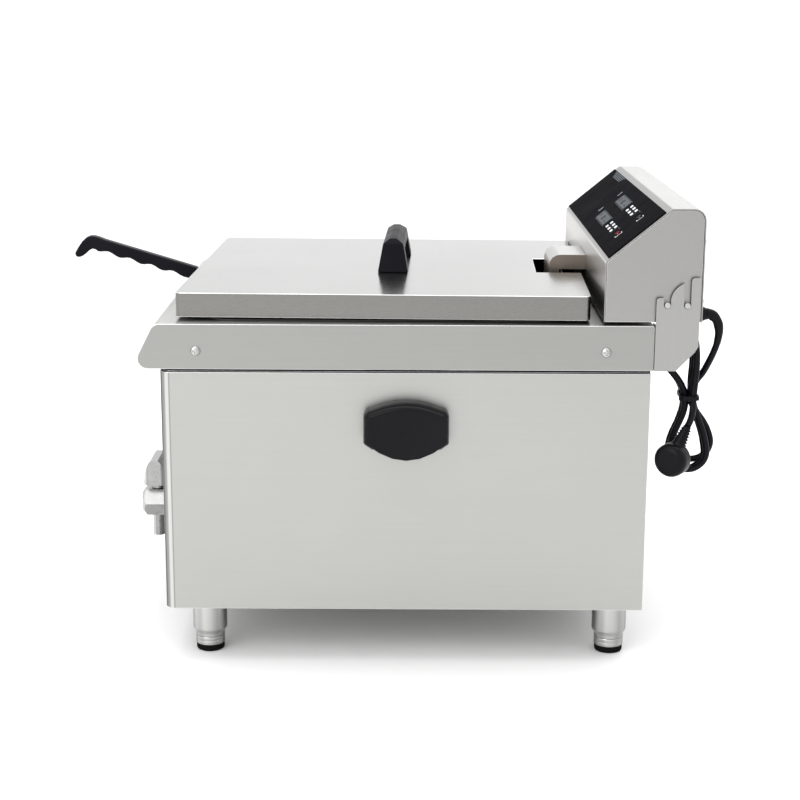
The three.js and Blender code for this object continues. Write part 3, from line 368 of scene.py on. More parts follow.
def settle(piece, slot_name, body, nodes=(), finish=None):
    """Links a piece, gives it its finish, sets what it rides on, and hides the CAD nodes it stands for."""
    if piece.name not in scene.collection.objects:
        scene.collection.objects.link(piece)
    piece.data.materials.clear()
    piece.data.materials.append(finish or SLOT_FINISH[slot_name])
    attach(piece, body)
    if nodes:
        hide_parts(*nodes)
    return piece


def soften(piece, width, segments=2, angle=32, edge_highlight=None):
    """Rounds the sharp edges of a piece by width millimetres and shades it smoothly.

    The edge finish, a painted highlight, is a second finish for the rounded edges alone.
    """
    mesh = piece.data
    mesh.polygons.foreach_set("use_smooth", [True] * len(mesh.polygons))
    mesh.set_sharp_from_angle(angle=math.radians(angle))
    if width:
        bevel = piece.modifiers.new("edges", "BEVEL")
        bevel.width = width * MM
        bevel.segments = segments
        bevel.limit_method = "ANGLE"
        bevel.angle_limit = math.radians(angle)
        bevel.use_clamp_overlap = True
        # painted highlight on the rounded edges
        if edge_highlight:
            piece.data.materials.append(edge_highlight)
            bevel.material = len(piece.data.materials) - 1
    normals = piece.modifiers.new("normals", "WEIGHTED_NORMAL")
    normals.keep_sharp = not width
    return piece


def refined(node, width, segments=2, angle=32, finish=None, edge_highlight=None):
    """A copy of a CAD node's surface with its flat faces joined and its edges rounded."""
    mesh = frame["nodes"][node].data.copy()
    mesh.name = node + "_skin"
    bm = bmesh.new()
    bm.from_mesh(mesh)
    bmesh.ops.remove_doubles(bm, verts=bm.verts, dist=1e-6)
    bmesh.ops.dissolve_limit(bm, angle_limit=math.radians(0.5), verts=bm.verts, edges=bm.edges)
    bm.to_mesh(mesh)
    bm.free()
    piece = bpy.data.objects.new(node + "_skin", mesh)
    settle(piece, SLOT_OF[node], BODY_OF[node], [node], finish)
    return soften(piece, width, segments, angle, edge_highlight)


def second_finish(piece, finish, chosen):
    """Gives another finish to the faces that chosen(centre in design millimetres, normal) picks."""
    piece.data.materials.append(finish)
    index = len(piece.data.materials) - 1
    for face in piece.data.polygons:
        if chosen((face.center - CORNER) / MM, face.normal):
            face.material_index = index


def piece_from(name, bm, slot_name, body, nodes=(), finish=None):
    mesh = bpy.data.meshes.new(name)
    bmesh.ops.recalc_face_normals(bm, faces=bm.faces)
    bm.to_mesh(mesh)
    bm.free()
    return settle(bpy.data.objects.new(name, mesh), slot_name, body, nodes, finish)


def frame_to(origin, direction):
    """A matrix that puts +Z along a direction at a place in design millimetres."""
    turn = Vector((0, 0, 1)).rotation_difference(Vector(direction)).to_matrix().to_4x4()
    return Matrix.Translation(at(*origin)) @ turn


def add_lathe(bm, profile, matrix, segments=40):
    """Turns (radius, height) pairs, in millimetres, about the matrix's Z axis."""
    rings = []
    for r, z in profile:
        if r == 0:
            rings.append([bm.verts.new(matrix @ Vector((0, 0, z * MM)))])
            continue
        turns = (2 * math.pi * i / segments for i in range(segments))
        places = (Vector((r * math.cos(t), r * math.sin(t), z)) * MM for t in turns)
        rings.append([bm.verts.new(matrix @ place) for place in places])
    for low, high in zip(rings, rings[1:]):
        for i in range(segments):
            j = (i + 1) % segments
            corners = [low[i % len(low)], low[j % len(low)], high[j % len(high)], high[i % len(high)]]
            unique = list(dict.fromkeys(corners))
            if len(unique) > 2:
                bm.faces.new(unique)
    return bm


def add_prism(bm, outline, thickness, matrix):
    """A flat outline, in millimetres in the matrix's XY plane, made thickness high along its Z."""
    low = [bm.verts.new(matrix @ (Vector((x, y, 0)) * MM)) for x, y in outline]
    high = [bm.verts.new(matrix @ (Vector((x, y, thickness)) * MM)) for x, y in outline]
    bm.faces.new(low[::-1])
    bm.faces.new(high)
    for i in range(len(outline)):
        j = (i + 1) % len(outline)
        bm.faces.new((low[i], low[j], high[j], high[i]))
    return bm


def add_tube(bm, points, radius, sides=8, closed=False):
    """A round wire along points given in metres."""
    points = [Vector(p) for p in points]
    count = len(points)
    rings, side = [], None
    for i, p in enumerate(points):
        before = points[i - 1] if closed or i else p
        after = points[(i + 1) % count] if closed or i < count - 1 else p
        along = (after - before).normalized()
        if side is None:
            side = along.orthogonal().normalized()
        side = (side - along * side.dot(along)).normalized()
        other = along.cross(side)
        turns = (2 * math.pi * k / sides for k in range(sides))
        spokes = (side * math.cos(t) + other * math.sin(t) for t in turns)
        rings.append([bm.verts.new(p + spoke * radius * MM) for spoke in spokes])
    pairs = list(zip(rings, rings[1:])) + ([(rings[-1], rings[0])] if closed else [])
    for low, high in pairs:
        for k in range(sides):
            j = (k + 1) % sides
            bm.faces.new((low[k], low[j], high[j], high[k]))
    if not closed:
        bm.faces.new(rings[0][::-1])
        bm.faces.new(rings[-1])
    return bm


def rounded(corners, radius, steps=5):
    """Points along a line of corners, each turned with a radius; everything in millimetres."""
    line = [Vector(corners[0])]
    for before, corner, after in zip(corners, corners[1:], corners[2:]):
        corner = Vector(corner)
        back, on = (Vector(before) - corner).normalized(), (Vector(after) - corner).normalized()
        angle = back.angle(on)
        centre = corner + (back + on).normalized() * (radius / math.sin(angle / 2))
        start = corner + back * (radius / math.tan(angle / 2)) - centre
        for k in range(steps + 1):
            turn = (math.pi - angle) * k / steps
            line.append(centre + start * math.cos(turn) - back * (radius * math.sin(turn)))
    line.append(Vector(corners[-1]))
    return line


def curve_piece(name, points, radius, slot_name, body, nodes=(), sizes=None, resolution=6):
    """A smooth round line through points in metres; sizes scale its radius point by point."""
    data = bpy.data.curves.new(name, "CURVE")
    data.dimensions = "3D"
    data.bevel_depth = radius * MM
    data.bevel_resolution = 5
    data.resolution_u = resolution
    data.use_fill_caps = True
    spline = data.splines.new("BEZIER")
    spline.bezier_points.add(len(points) - 1)
    for i, p in enumerate(points):
        knot = spline.bezier_points[i]
        knot.co = p
        knot.handle_left_type = knot.handle_right_type = "AUTO"
        knot.radius = sizes[i] if sizes else 1
    return settle(bpy.data.objects.new(name, data), slot_name, body, nodes)


# ---- power cord ---------------------------------------------------------------------------------

CORD_R = 3.5
TIE = Vector((544, 225))
FOLDS_FROM_Y, FOLD_PITCH, FOLD_BESIDE = 46, 7.8, 3.8
LOWER_FOLDS = [((551.8, 172.8), 19.5), ((544.4, 164.4), 19.5), ((545.6, 165.6), 19.5)]
UPPER_FOLDS = [((527.5, 280.5), 19.3), ((529, 279), 19), ((530, 277.5), 18.8)]
LEAD = [
    (556.6, 18, 314), (559.6, 18, 313.8), (563.4, 18.3, 311.8), (567.2, 19, 307.6), (569.8, 20.4, 301.4),
    (571, 22.6, 293), (570.2, 26, 282.3), (567.4, 30.4, 270.5), (563.4, 35.2, 258.5), (559.2, 39.6, 248),
    (554, 43.6, 239),
]
LEAD_BOOT_SWELL = [1.75, 1.55, 1.62, 1.38, 1.42, 1.2, 1.08]
TAIL = [(547.6, 22.2, 218), (547.2, 20.4, 212), (545.6, 16.4, 206), (543, 11.8, 201.2), (540.4, 8.6, 197.6)]
PLUG = Vector((524.5, 1.6, 164))
PLUG_TURN = math.radians(33)
BOOT = Vector((15.5, 6.4, 33))


def lobe(centre, radius, y_from, y_to):
    """One fold of the hank: from the tie round a centre and back, y drifting from one layer to the next."""
    centre = Vector(centre)
    outward = (centre - TIE).normalized()
    steps, sweep = 6, 216
    points = []
    for k in range(steps + 1):
        turn = math.radians(sweep / 2 - sweep * k / steps)
        way = Matrix.Rotation(turn, 2) @ outward
        x, z = centre + way * radius
        drift = (1 - math.cos(math.pi * k / steps)) / 2
        points.append((x, y_from + (y_to - y_from) * drift, z))
    return points


def cord_route():
    route = list(LEAD)
    y = FOLDS_FROM_Y
    for low, high in zip(LOWER_FOLDS, UPPER_FOLDS):
        route.append((TIE.x + FOLD_BESIDE, y, TIE.y))
        route += lobe(*low, y, y)
        route.append((TIE.x - FOLD_BESIDE, y, TIE.y))
        route += lobe(*high, y, y - FOLD_PITCH)
        y -= FOLD_PITCH
    route.append((TIE.x + FOLD_BESIDE, y, TIE.y))
    return route + TAIL


def make_cord():
    route = [at(*p) for p in cord_route()]
    nodes = ["power_cord", "cord_hank", "cord_tail"]
    cord = curve_piece("mains_lead", route, CORD_R, "cord_cover", "cabinet", nodes, resolution=8)

    boot_points = [at(*p) for p in LEAD[:len(LEAD_BOOT_SWELL)]]
    boot = curve_piece("lead_boot", boot_points, CORD_R, "cord_fittings", "cabinet", (), LEAD_BOOT_SWELL)

    tie = make_tie()
    plug = make_plug()


def make_tie():
    """A cable tie: a thin strap round the bundle and its square head."""
    low, high = span("cord_tie")
    inset, half, thickness, bend = 0.5, 2.2, 1.1, 3
    x0, x1, y0, y1 = low.x + inset, high.x - inset, low.y + inset, high.y - inset
    middle = (y0 + y1) / 2
    corners = [(x0, middle), (x0, y0), (x1, y0), (x1, y1), (x0, y1), (x0, middle + 1)]
    loop = rounded([(x, y, 0) for x, y in corners], bend)
    bm = bmesh.new()
    strap = [[bm.verts.new(at(p.x, p.y, TIE.y + z)) for z in (-half, half)] for p in loop]
    for a, b in zip(strap, strap[1:] + strap[:1]):
        bm.faces.new((a[0], b[0], b[1], a[1]))
    piece = piece_from("cable_tie", bm, "cord_fittings", "cabinet", ["cord_tie"])
    thick = piece.modifiers.new("strap", "SOLIDIFY")
    thick.thickness = thickness * MM
    thick.offset = 0
    lock = bmesh.new()
    size = Matrix.Diagonal((3.4 * MM, 6 * MM, 5.6 * MM, 1))
    bmesh.ops.create_cube(lock, size=1, matrix=Matrix.Translation(at(x0 - 0.6, y0 + 5, TIE.y)) @ size)
    head = soften(piece_from("cable_tie_head", lock, "cord_fittings", "cabinet"), 0.5)
    return [piece, head]


def make_plug():
    """A round right-angle plug with a ribbed boot and two pins."""
    half = 10
    axis = Vector((math.sin(PLUG_TURN), math.cos(PLUG_TURN), 0))
    bm = bmesh.new()
    profile = [
        (0, 0.6), (8.6, 0.2), (12.6, 0.8), (15.8, 2.6), (17.3, 5.6), (17.6, 9), (17.6, 18), (17, 19.4),
        (15.6, 20), (0, 20),
    ]
    add_lathe(bm, [(r, z - half) for r, z in profile], frame_to(PLUG, axis), 56)
    body = soften(piece_from("plug_body", bm, "cord_fittings", "cabinet", ["plug"]), 0, angle=50)

    boot = bmesh.new()
    start, long = 14.0, BOOT.length + 0.6
    ribs = [(0, start), (8.2, start)]
    count = 6
    for i in range(count):
        z = start + 4 + (long - start - 5) * i / count
        r = 7.4 - 2.6 * i / count
        ribs += [(r, z), (r, z + 1.6), (r - 1.2, z + 2.0), (r - 1.2, z + 2.9)]
    ribs += [(4.4, long), (0, long)]
    add_lathe(boot, ribs, frame_to(PLUG, BOOT), 32)
    ribbed = soften(piece_from("plug_boot", boot, "cord_fittings", "cabinet"), 0, angle=50)

    pins = bmesh.new()
    beside = Vector((math.cos(PLUG_TURN), -math.sin(PLUG_TURN), 0)) * -3.5
    for side in (-1, 1):
        foot = PLUG + axis * (half - 1) + beside + Vector((0, 0, side * 9.5))
        add_lathe(pins, [(0, 0), (2.4, 0), (2.4, 14), (1.6, 15.6), (0, 15.8)], frame_to(foot, axis), 20)
    prongs = soften(piece_from("plug_pins", pins, "bright_steel", "cabinet"), 0, angle=50)
    return [body, ribbed, prongs]


# ---- fasteners ----------------------------------------------------------------------------------

def pan_screw(name, place, direction, radius, body, slot_name="bright_steel"):
    """A pan-head screw with a cross recess."""
    high = radius * 0.5
    bm = bmesh.new()
    dome = [(0, -0.6), (radius, -0.6), (radius, 0.2)]
    for k in range(1, 7):
        turn = math.pi / 2 * k / 6
        dome.append((radius * math.cos(turn) if k < 6 else 0, 0.2 + high * math.sin(turn)))
    matrix = frame_to(place, direction)
    add_lathe(bm, dome, matrix, 32)
    head = piece_from(name, bm, slot_name, body)
    cutter = bmesh.new()
    arm, width = radius * 0.55, radius * 0.17
    cross = [(width, width), (arm, width), (arm, -width), (width, -width), (width, -arm), (-width, -arm),
             (-width, -width), (-arm, -width), (-arm, width), (-width, width), (-width, arm), (width, arm)]
    lift = matrix @ Matrix.Translation((0, 0, 0.35 * high * MM))
    add_prism(cutter, cross[::-1], high * 2, lift)
    bmesh.ops.recalc_face_normals(cutter, faces=cutter.faces)
    tool_mesh = bpy.data.meshes.new(name + "_cut")
    cutter.to_mesh(tool_mesh)
    cutter.free()
    tool = bpy.data.objects.new(name + "_cut", tool_mesh)
    scene.collection.objects.link(tool)
    cut = head.modifiers.new("recess", "BOOLEAN")
    cut.object = tool
    cut.solver = "EXACT"
    bpy.context.view_layer.update()
    made = bpy.data.meshes.new_from_object(head.evaluated_get(bpy.context.evaluated_depsgraph_get()))
    head.modifiers.clear()
    head.data = made
    bpy.data.objects.remove(tool)
    return soften(head, 0, angle=38)


def make_screws():
    deck_x, deck_z, deck_r = (36.5, 453.5), 277, 5.2
    for side, y, way in (("near", -DECK_SIDE, -1), ("far", CABINET_WIDE + DECK_SIDE, 1)):
        for i, x in enumerate(deck_x):
            pan_screw(f"deck_screw_{side}_{i + 1}", (x, y, deck_z), (0, way, 0), deck_r, "cabinet")
    from_side, cover_z, cover_r = 10, (328, 389), 4.2
    places = [(y, z) for y in (from_side, CABINET_WIDE - from_side) for z in cover_z]
    for i, (y, z) in enumerate(places):
        pan_screw(f"rear_cover_screw_{i + 1}", (HEAD_REAR, y, z), (1, 0, 0), cover_r, "cabinet")


# ---- feet, tap ----------------------------------------------------------------------------------

# Turned outlines of the feet: (radius, height) pairs from the cabinet's lower edge.
LEG_OUTLINE = [
    (0, -0.4), (17.4, -0.4), (18.1, -1), (18.25, -1.8), (18.25, -33), (18, -34.2), (16.2, -37.4),
    (15.6, -38.2), (15.6, -41.4), (15.2, -42), (6.6, -42), (6.4, -41.6), (6.4, -6), (0, -6),
]
RING_OUTLINE = [
    (0, -51), (15.2, -51), (15.5, -50.6), (15.5, -47.4), (15.1, -46.8), (15.1, -46.2), (15.5, -45.6),
    (15.5, -43), (15.1, -42.4), (6.2, -42.4), (6, -42), (6, -12.4), (5.4, -12), (0, -12),
]
PAD_OUTLINE = [
    (0, GROUND), (13.1, GROUND), (14.1, GROUND + 0.5), (14.9, GROUND + 1.8), (15, GROUND + 3), (15, -52.4),
    (14.6, -51.8), (14.6, -51.2), (0, -51.2),
]


def turned_piece(name, outline, place, sides, slot_name, body, nodes=(), angle=40):
    bm = add_lathe(bmesh.new(), outline, frame_to(place, (0, 0, 1)), sides)
    return soften(piece_from(name, bm, slot_name, body, nodes), 0, angle=angle)


def make_feet():
    for i in range(1, 5):
        low, high = span(f"leg_{i}")
        x, y = (low.x + high.x) / 2, (low.y + high.y) / 2
        leg, foot = f"leg_{i}", f"foot_{i}"
        turned_piece(f"{leg}_turned", LEG_OUTLINE, (x, y, 0), 56, SLOT_OF[leg], "cabinet", [leg])
        turned_piece(f"{foot}_ring", RING_OUTLINE, (x, y, 0), 48, "bright_steel", foot)
        turned_piece(f"{foot}_pad", PAD_OUTLINE, (x, y, 0), 48, "foot_rubber", foot, [foot], angle=50)


def make_tap():
    refined("drain_pipe", 0.3, angle=40)
    refined("valve_body", 0.6, 3, angle=40)
    refined("valve_ball", 0, angle=60)
    refined("valve_stem", 0.2, angle=50)
    refined("valve_lever", 1.8, 3, angle=40)
    pipe_low, pipe_high = span("drain_pipe")
    union_x, mid_z = -12, (pipe_low.z + pipe_high.z) / 2
    outline = [(10.1, 0), (15.2, 0), (15.8, 0.8), (15.8, 8.2), (15.2, 9), (10.1, 9), (10.1, 0)]
    union = add_lathe(bmesh.new(), outline, frame_to((union_x, MIDDLE_Y, mid_z), (1, 0, 0)), 6)
    soften(piece_from("tap_union", union, "tap_metal", "cabinet"), 0.5, angle=25)


# ---- basket -------------------------------------------------------------------------------------

def make_basket():
    low, high = span("basket_mesh")
    x0, y0, z0 = low
    x1, y1, z1 = high
    corner, wire, pitch, inset, bend = 25, 0.8, 8.25, 0.9, 5
    corners = ((x0 + corner, y0 + corner, 180), (x1 - corner, y0 + corner, 270),
               (x1 - corner, y1 - corner, 0), (x0 + corner, y1 - corner, 90))
    bm = bmesh.new()

    def run(points):
        add_tube(bm, [at(*p) for p in rounded(points, bend, 3)], wire, 6)

    count = round((x1 - x0 - 2 * corner) / pitch)
    for i in range(count + 1):
        along = corner + (x1 - x0 - 2 * corner) * i / count
        x, y = x0 + along, y0 + along
        a, b = y0 + inset, y1 - inset
        run([(x, a, z1), (x, a, z0 + inset), (x, b, z0 + inset), (x, b, z1)])
        a, b = x0 + inset + 2 * wire, x1 - inset - 2 * wire
        lift = z0 + inset + 2 * wire
        run([(a, y, z1), (a, y, lift), (b, y, lift), (b, y, z1)])
    for cx, cy, start in corners:
        for k in range(1, 5):
            turn = math.radians(start + 18 * k)
            r, inner_r = corner - inset, 0.4 * (corner - inset)
            x, y = cx + r * math.cos(turn), cy + r * math.sin(turn)
            inner = (cx + inner_r * math.cos(turn), cy + inner_r * math.sin(turn))
            low_z = z0 + inset + wire
            run([(x, y, z1), (x, y, low_z), (*inner, low_z)])

    def ring(z, shrink):
        points = []
        r = corner - inset - shrink
        for cx, cy, start in corners:
            for k in range(7):
                turn = math.radians(start + 15 * k)
                points.append(at(cx + r * math.cos(turn), cy + r * math.sin(turn), z))
        return points

    rows, lowest, over_rows = 19, 9, 12
    for k in range(rows):
        z = z0 + lowest + (z1 - z0 - over_rows) * k / (rows - 1)
        add_tube(bm, ring(z, 2 * wire), wire, 6, closed=True)
    soften(piece_from("basket_wires", bm, "wire", "basket", ["basket_mesh"]), 0, angle=60)

    rim = bmesh.new()
    rim_r, rim_out, rim_low = 3, 2.4, span("basket_rim")[0].z
    add_tube(rim, ring(rim_low + rim_r, -rim_out), rim_r, 14, closed=True)
    brace_r, brace_in, brace_out, brace_under, brace_bend = 2, 110, 1.6, 1.2, 8
    near_y, far_y, under = y0 - brace_out, y1 + brace_out, z0 - brace_under
    for x in (x0 + brace_in, x1 - brace_in):
        brace = [(x, near_y, rim_low), (x, near_y, under), (x, far_y, under), (x, far_y, rim_low)]
        add_tube(rim, [at(*p) for p in rounded(brace, brace_bend, 5)], brace_r, 10)
    soften(piece_from("basket_frame", rim, "wire", "basket", ["basket_rim"]), 0, angle=60)
    make_arm_and_grip()


def make_arm_and_grip():
    slope = math.tan(math.radians(16.6))
    wire, half, bend = 3, 4, 10
    in_grip_x, in_grip_z = 16.5, 320.5
    arm_low, arm_high = span("basket_arm")
    arm_x, low = arm_high.x - wire, arm_low.z + wire
    inner_x = 13
    z_in = in_grip_z - (inner_x - in_grip_x) * slope
    bend_z = in_grip_z - (arm_x - in_grip_x) * slope

    def side(y):
        line = [(inner_x, MIDDLE_Y + y, z_in), (arm_x, MIDDLE_Y + y, bend_z), (arm_x, MIDDLE_Y + y, low)]
        return rounded(line, bend, 6)[:-1]

    turns = [math.radians(-90 + 22.5 * k) for k in range(9)]
    foot = [Vector((arm_x, MIDDLE_Y + half * math.sin(t), low + half - half * math.cos(t))) for t in turns]
    bm = add_tube(bmesh.new(), [at(*p) for p in side(-half) + foot + side(half)[::-1]], wire, 14)
    soften(piece_from("basket_arm_wire", bm, "wire", "basket", ["basket_arm"]), 0, angle=60)
    refined("basket_grip", 2.6, 4, angle=38)


# ---- control head -------------------------------------------------------------------------------

SLOPE_LOW, SLOPE_HIGH, SLOPE_RUN = 369.7, 423, 64.9
SLOPE_FOOT = Vector((HEAD_FRONT, 0, SLOPE_LOW))
SLOPE_ANGLE = math.atan2(SLOPE_HIGH - SLOPE_LOW, SLOPE_RUN)
SLOPE_UP = Vector((math.cos(SLOPE_ANGLE), 0, math.sin(SLOPE_ANGLE)))
SLOPE_OUT = Vector((-math.sin(SLOPE_ANGLE), 0, math.cos(SLOPE_ANGLE)))
PANEL_START = 4.3
GAP = 0.3
FILM = GAP + 1.2
LENS = 0.6


def panel_matrix(s, y, lift=0.0):
    """A place on the panel's film: X runs towards the near end, as the panel is read, and Y up the slope."""
    place = SLOPE_FOOT + SLOPE_UP * (PANEL_START + s) + SLOPE_OUT * (FILM + lift) + Vector((0, y, 0))
    axes = Matrix((Vector((0, -1, 0)), SLOPE_UP, SLOPE_OUT)).transposed().to_4x4()
    return Matrix.Translation(at(*place)) @ axes


def plate(width, height, corner=0.0):
    """A rectangle about the middle, with round corners where corner isn't 0."""
    w, h = width / 2, height / 2
    if not corner:
        return [(-w, -h), (w, -h), (w, h), (-w, h)]
    points = []
    x, y = w - corner, h - corner
    for cx, cy, start in ((x, -y, -90), (x, y, 0), (-x, y, 90), (-x, -y, 180)):
        for k in range(5):
            turn = math.radians(start + 22.5 * k)
            points.append((cx + corner * math.cos(turn), cy + corner * math.sin(turn)))
    return points


INK_HIGH = 0.12


def ink(bm, matrix, outline, dx=0.0, dy=0.0, lift=0.0):
    add_prism(bm, outline, INK_HIGH, matrix @ Matrix.Translation((dx * MM, dy * MM, lift * MM)))


def outline_box(bm, matrix, width, height, line, dx=0.0, dy=0.0):
    """A printed frame: four thin bars."""
    for x, y, w, h in ((0, height / 2, width, line), (0, -height / 2, width, line),
                       (width / 2, 0, line, height - line), (-width / 2, 0, line, height - line)):
        ink(bm, matrix, plate(w, h), dx + x, dy + y)


def ring_outline(bm, matrix, radius, line, start, end, dx=0.0, dy=0.0):
    """A printed arc."""
    steps = 20
    turns = [math.radians(start + (end - start) * k / steps) for k in range(steps + 1)]
    outer = [(radius * math.cos(t), radius * math.sin(t)) for t in turns]
    inner = [((radius - line) * math.cos(t), (radius - line) * math.sin(t)) for t in turns]
    ink(bm, matrix, outer + inner[::-1], dx, dy)


def digit(bm, matrix, segments, dx, lift):
    """One seven-segment figure; segments are the lit ones, a to g."""
    w, h, line = 3.0, 6.0, 0.7
    bars = {
        "a": (0, h / 2, w - line, line), "g": (0, 0, w - line, line), "d": (0, -h / 2, w - line, line),
        "f": (-w / 2, h / 4, line, h / 2 - line), "b": (w / 2, h / 4, line, h / 2 - line),
        "e": (-w / 2, -h / 4, line, h / 2 - line), "c": (w / 2, -h / 4, line, h / 2 - line),
    }
    for name in segments:
        x, y, bw, bh = bars[name]
        ink(bm, matrix, plate(bw, bh), dx + x, y, lift)


def make_panel():
    refined("control_panel", 0.25)
    keys_y, power_y, rating_y, label_y, title_y = 130, 76, 104, 262, 366
    key_pitch, key_row = 18, 6.2
    white, red, grey, lit = (bmesh.new() for _ in range(4))
    lens_top = GAP + LENS - INK_HIGH / 3
    for number, s in enumerate((23.0, 50.5)):
        refined(f"display_window_{number + 1}", 0.2)
        low, high = span(f"display_window_{number + 1}")
        here = panel_matrix(s, (low.y + high.y) / 2)
        outline_box(grey, here, 70.5, 13.8, 0.5)
        for k, segments in enumerate(("bc", "abcdefg", "abcdef")):
            digit(lit, here, segments, -8 + 6 * k, lens_top)
        ink(lit, here, plate(9, 0.8), 22, -2, lens_top)
        ring_outline(lit, here @ Matrix.Translation((0, 0, lens_top * MM)), 2.4, 0.6, 0, 360, -24, 0)
        keys = panel_matrix(s, keys_y)
        for column in range(3):
            for row in range(2):
                dx, dy = key_pitch * (column - 1), key_row * (row - 0.5)
                ink(white, keys, plate(8.6, 3.6, 0.8), dx, dy)
            ink(grey, keys, plate(0.6, 10), key_pitch * (column - 0.5), 0)
        power = panel_matrix(s, power_y - 4 * number)
        ink(white, power, plate(1.0, 8.4), 12, 0)
        for dy in (-4.2, 4.2):
            ink(white, power, plate(5, 0.9), 9.5, dy)
        target = grey if number else red
        ring_outline(target, power, 2.6, 0.8, -60, 240, -3, 0)
        ink(target, power, plate(0.8, 2.6), -3, 2.0)
        ink(target, power, plate(6, 1.0), 4, 0)
        label = panel_matrix(s + 4, label_y)
        ink(white, label, plate(0.9, 7.5), 0, 0)
        for k in range(3):
            ink(grey, label, plate(2.2, 0.6), 3, -2 + 1.9 * k)
        rating = panel_matrix(s + 4.5, rating_y)
        for k in range(4):
            ink(grey, rating, plate(3.4, 0.6), 5.2 * k, 0.9 * (k % 2))
    title = panel_matrix(68, title_y)
    for row in range(4):
        ink(grey, title, plate(84 - 9 * row, 1.2), 0, 3.3 - 2.2 * row)
    prints = (
        ("panel_print_white", white, INK_WHITE), ("panel_print_red", red, INK_RED),
        ("panel_print_grey", grey, INK_GREY), ("display_figures", lit, SLOT_FINISH["panel_film"]),
    )
    for name, bm, finish in prints:
        piece_from(name, bm, "panel_film", "cabinet", (), finish)


def make_head():
    shell = refined("head_shell", 0.25, angle=30)
    front_ends = HEAD_FRONT + 5
    # painted light on the head's front face
    second_finish(shell, FRONT_FACE_LIT_STEEL, lambda centre, normal: normal.x < -0.9 and centre.x < front_ends)
    for node in ("head_side_near", "head_side_far"):
        # painted highlight on the side panels' rounded edges
        refined(node, 0.55, edge_highlight=EDGE_HIGHLIGHT_STEEL)
    for node in ("head_rear_cover", "head_floor"):
        refined(node, 0.3)
    make_panel()
    neck = refined("element_neck", 0.4, finish=NECK_STEEL)
    # painted light on the neck's upward faces
    second_finish(neck, BRIDGE_TOP_LIT_STEEL, lambda centre, normal: normal.z > 0.5)
    for node in ("circuit_board", "contactor", "terminal_block", "safety_thermostat"):
        refined(node, 0.6)
    refined("reset_button", 0.3, angle=40)
    refined("cable_gland", 0.4, angle=40)
    for side in ("near", "far"):
        refined(f"bracket_{side}", 0.3)
        for end in ("front", "rear"):
            refined(f"pivot_pin_{side}_{end}", 0.5, angle=45)
    for i in range(1, 4):
        refined(f"heating_element_{i}", 0, angle=60)
    for node in ("temperature_probe", "limit_probe"):
        refined(node, 0, angle=60)
    refined("element_support", 0.2)


def make_cabinet():
    # painted highlight on the shell's rounded edges
    shell = refined("body_shell", 0.5, edge_highlight=EDGE_HIGHLIGHT_STEEL)
    # painted shade in the groove: the cabinet's faces above the seam
    second_finish(shell, SEAM_SHADE_BLACK, lambda centre, normal: centre.z > SEAM + 0.1)
    for node in ("rear_panel", "base_plate"):
        refined(node, 0.3)
    # painted highlight on the deck's rounded edges
    deck = refined("top_deck", 0.5, 2, angle=28, edge_highlight=EDGE_HIGHLIGHT_STEEL)
    # painted shade: the aprons' lower edges by the groove
    second_finish(deck, SEAM_SHADE_BLACK, lambda centre, normal: abs(normal.z) > 0.9 and centre.z < SEAM + SEAM_ROOM)
    tank = refined("tank", 0.4, angle=30)
    low, high = span("tank")
    middle_x = (low.x + high.x) / 2

    flange_low, flange_high, collar_from = 300, 310, 100

    def shaded_outside(centre, normal):
        on_flange = flange_low < centre.z < flange_high
        if abs(normal.z) > 0.5:
            return on_flange
        outward = Vector((centre.x - middle_x, centre.y - MIDDLE_Y, 0)).dot(normal)
        return outward > 0 and centre.z > collar_from or on_flange

    # painted shade on the tank's outer walls and flange
    second_finish(tank, COLLAR_SHADE_STEEL, shaded_outside)
    for side in ("near", "far"):
        refined(f"carry_handle_{side}", 0.9, 3, angle=42)


def make_lid():
    # painted highlight on the lid's rounded edges
    lid = refined("lid", 0.6, 2, angle=30, edge_highlight=EDGE_HIGHLIGHT_STEEL)
    # painted shade on the lid's upright faces
    second_finish(lid, SKIRT_SHADED_STEEL, lambda centre, normal: abs(normal.z) < 0.5)
    refined("lid_handle", 1.3, 3, angle=20, finish=KNOB_PLASTIC)


# ---- floor, light -------------------------------------------------------------------------------

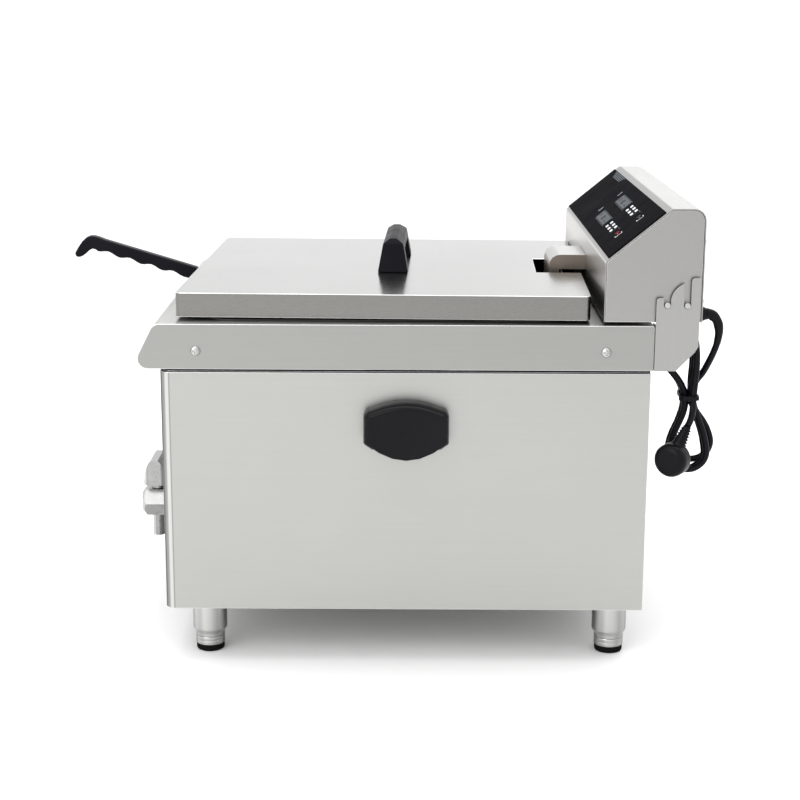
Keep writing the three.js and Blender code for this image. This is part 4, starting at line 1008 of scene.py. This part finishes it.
def make_stage():
    f = Finish("floor")
    grain = f.noise(3, 5)
    tone = f.mix(f.ramp(grain, 0.3, 0.7, 0, 1), (0.80, 0.80, 0.80), (0.82, 0.82, 0.82))
    material = f.done(tone, 0.6)
    bpy.ops.mesh.primitive_plane_add(size=600, location=at(CABINET_LONG / 2, MIDDLE_Y, GROUND - 0.05))
    floor = bpy.context.object
    floor.name = "floor"
    floor.data.materials.append(material)

    world = bpy.data.worlds.new("studio")
    scene.world = world
    world.use_nodes = True
    nodes, links = world.node_tree.nodes, world.node_tree.links
    sky = nodes["Background"]
    direction = nodes.new("ShaderNodeTexCoord").outputs["Generated"]
    height = nodes.new("ShaderNodeSeparateXYZ")
    links.new(direction, height.inputs[0])
    ramp = nodes.new("ShaderNodeValToRGB")
    ramp.color_ramp.elements[0].position = 0.45
    ramp.color_ramp.elements[0].color = (0.80, 0.80, 0.81, 1)
    ramp.color_ramp.elements[1].position = 0.85
    ramp.color_ramp.elements[1].color = (1.0, 1.0, 1.0, 1)
    half = nodes.new("ShaderNodeMath")
    half.operation = "MULTIPLY_ADD"
    half.inputs[1].default_value = 0.5
    half.inputs[2].default_value = 0.5
    links.new(height.outputs["Z"], half.inputs[0])
    links.new(half.outputs[0], ramp.inputs[0])
    links.new(ramp.outputs[0], sky.inputs["Color"])
    sky.inputs["Strength"].default_value = 1.45

    def softbox(name, place, aim, size, power):
        data = bpy.data.lights.new(name, "AREA")
        data.shape = "RECTANGLE"
        data.size, data.size_y = size
        data.energy = power
        lamp = bpy.data.objects.new(name, data)
        lamp.location = at(*place)
        lamp.rotation_euler = (at(*aim) - at(*place)).to_track_quat("-Z", "Y").to_euler()
        scene.collection.objects.link(lamp)

    aim = (CABINET_LONG / 2, MIDDLE_Y, 200)
    softbox("top_light", (CABINET_LONG / 2, MIDDLE_Y + 300, 2300), aim, (2.6, 2.2), 34)
    softbox("front_light", (-1100, -1900, 1500), aim, (1.8, 1.6), 26)
    softbox("back_light", (1400, 2300, 1500), aim, (1.8, 1.6), 12)
    scene.view_settings.view_transform = "Standard"
    scene.view_settings.look = "None"


make_camera()
make_cord()
make_cabinet()
make_feet()
make_tap()
make_head()
make_basket()
make_lid()
make_screws()
make_stage()
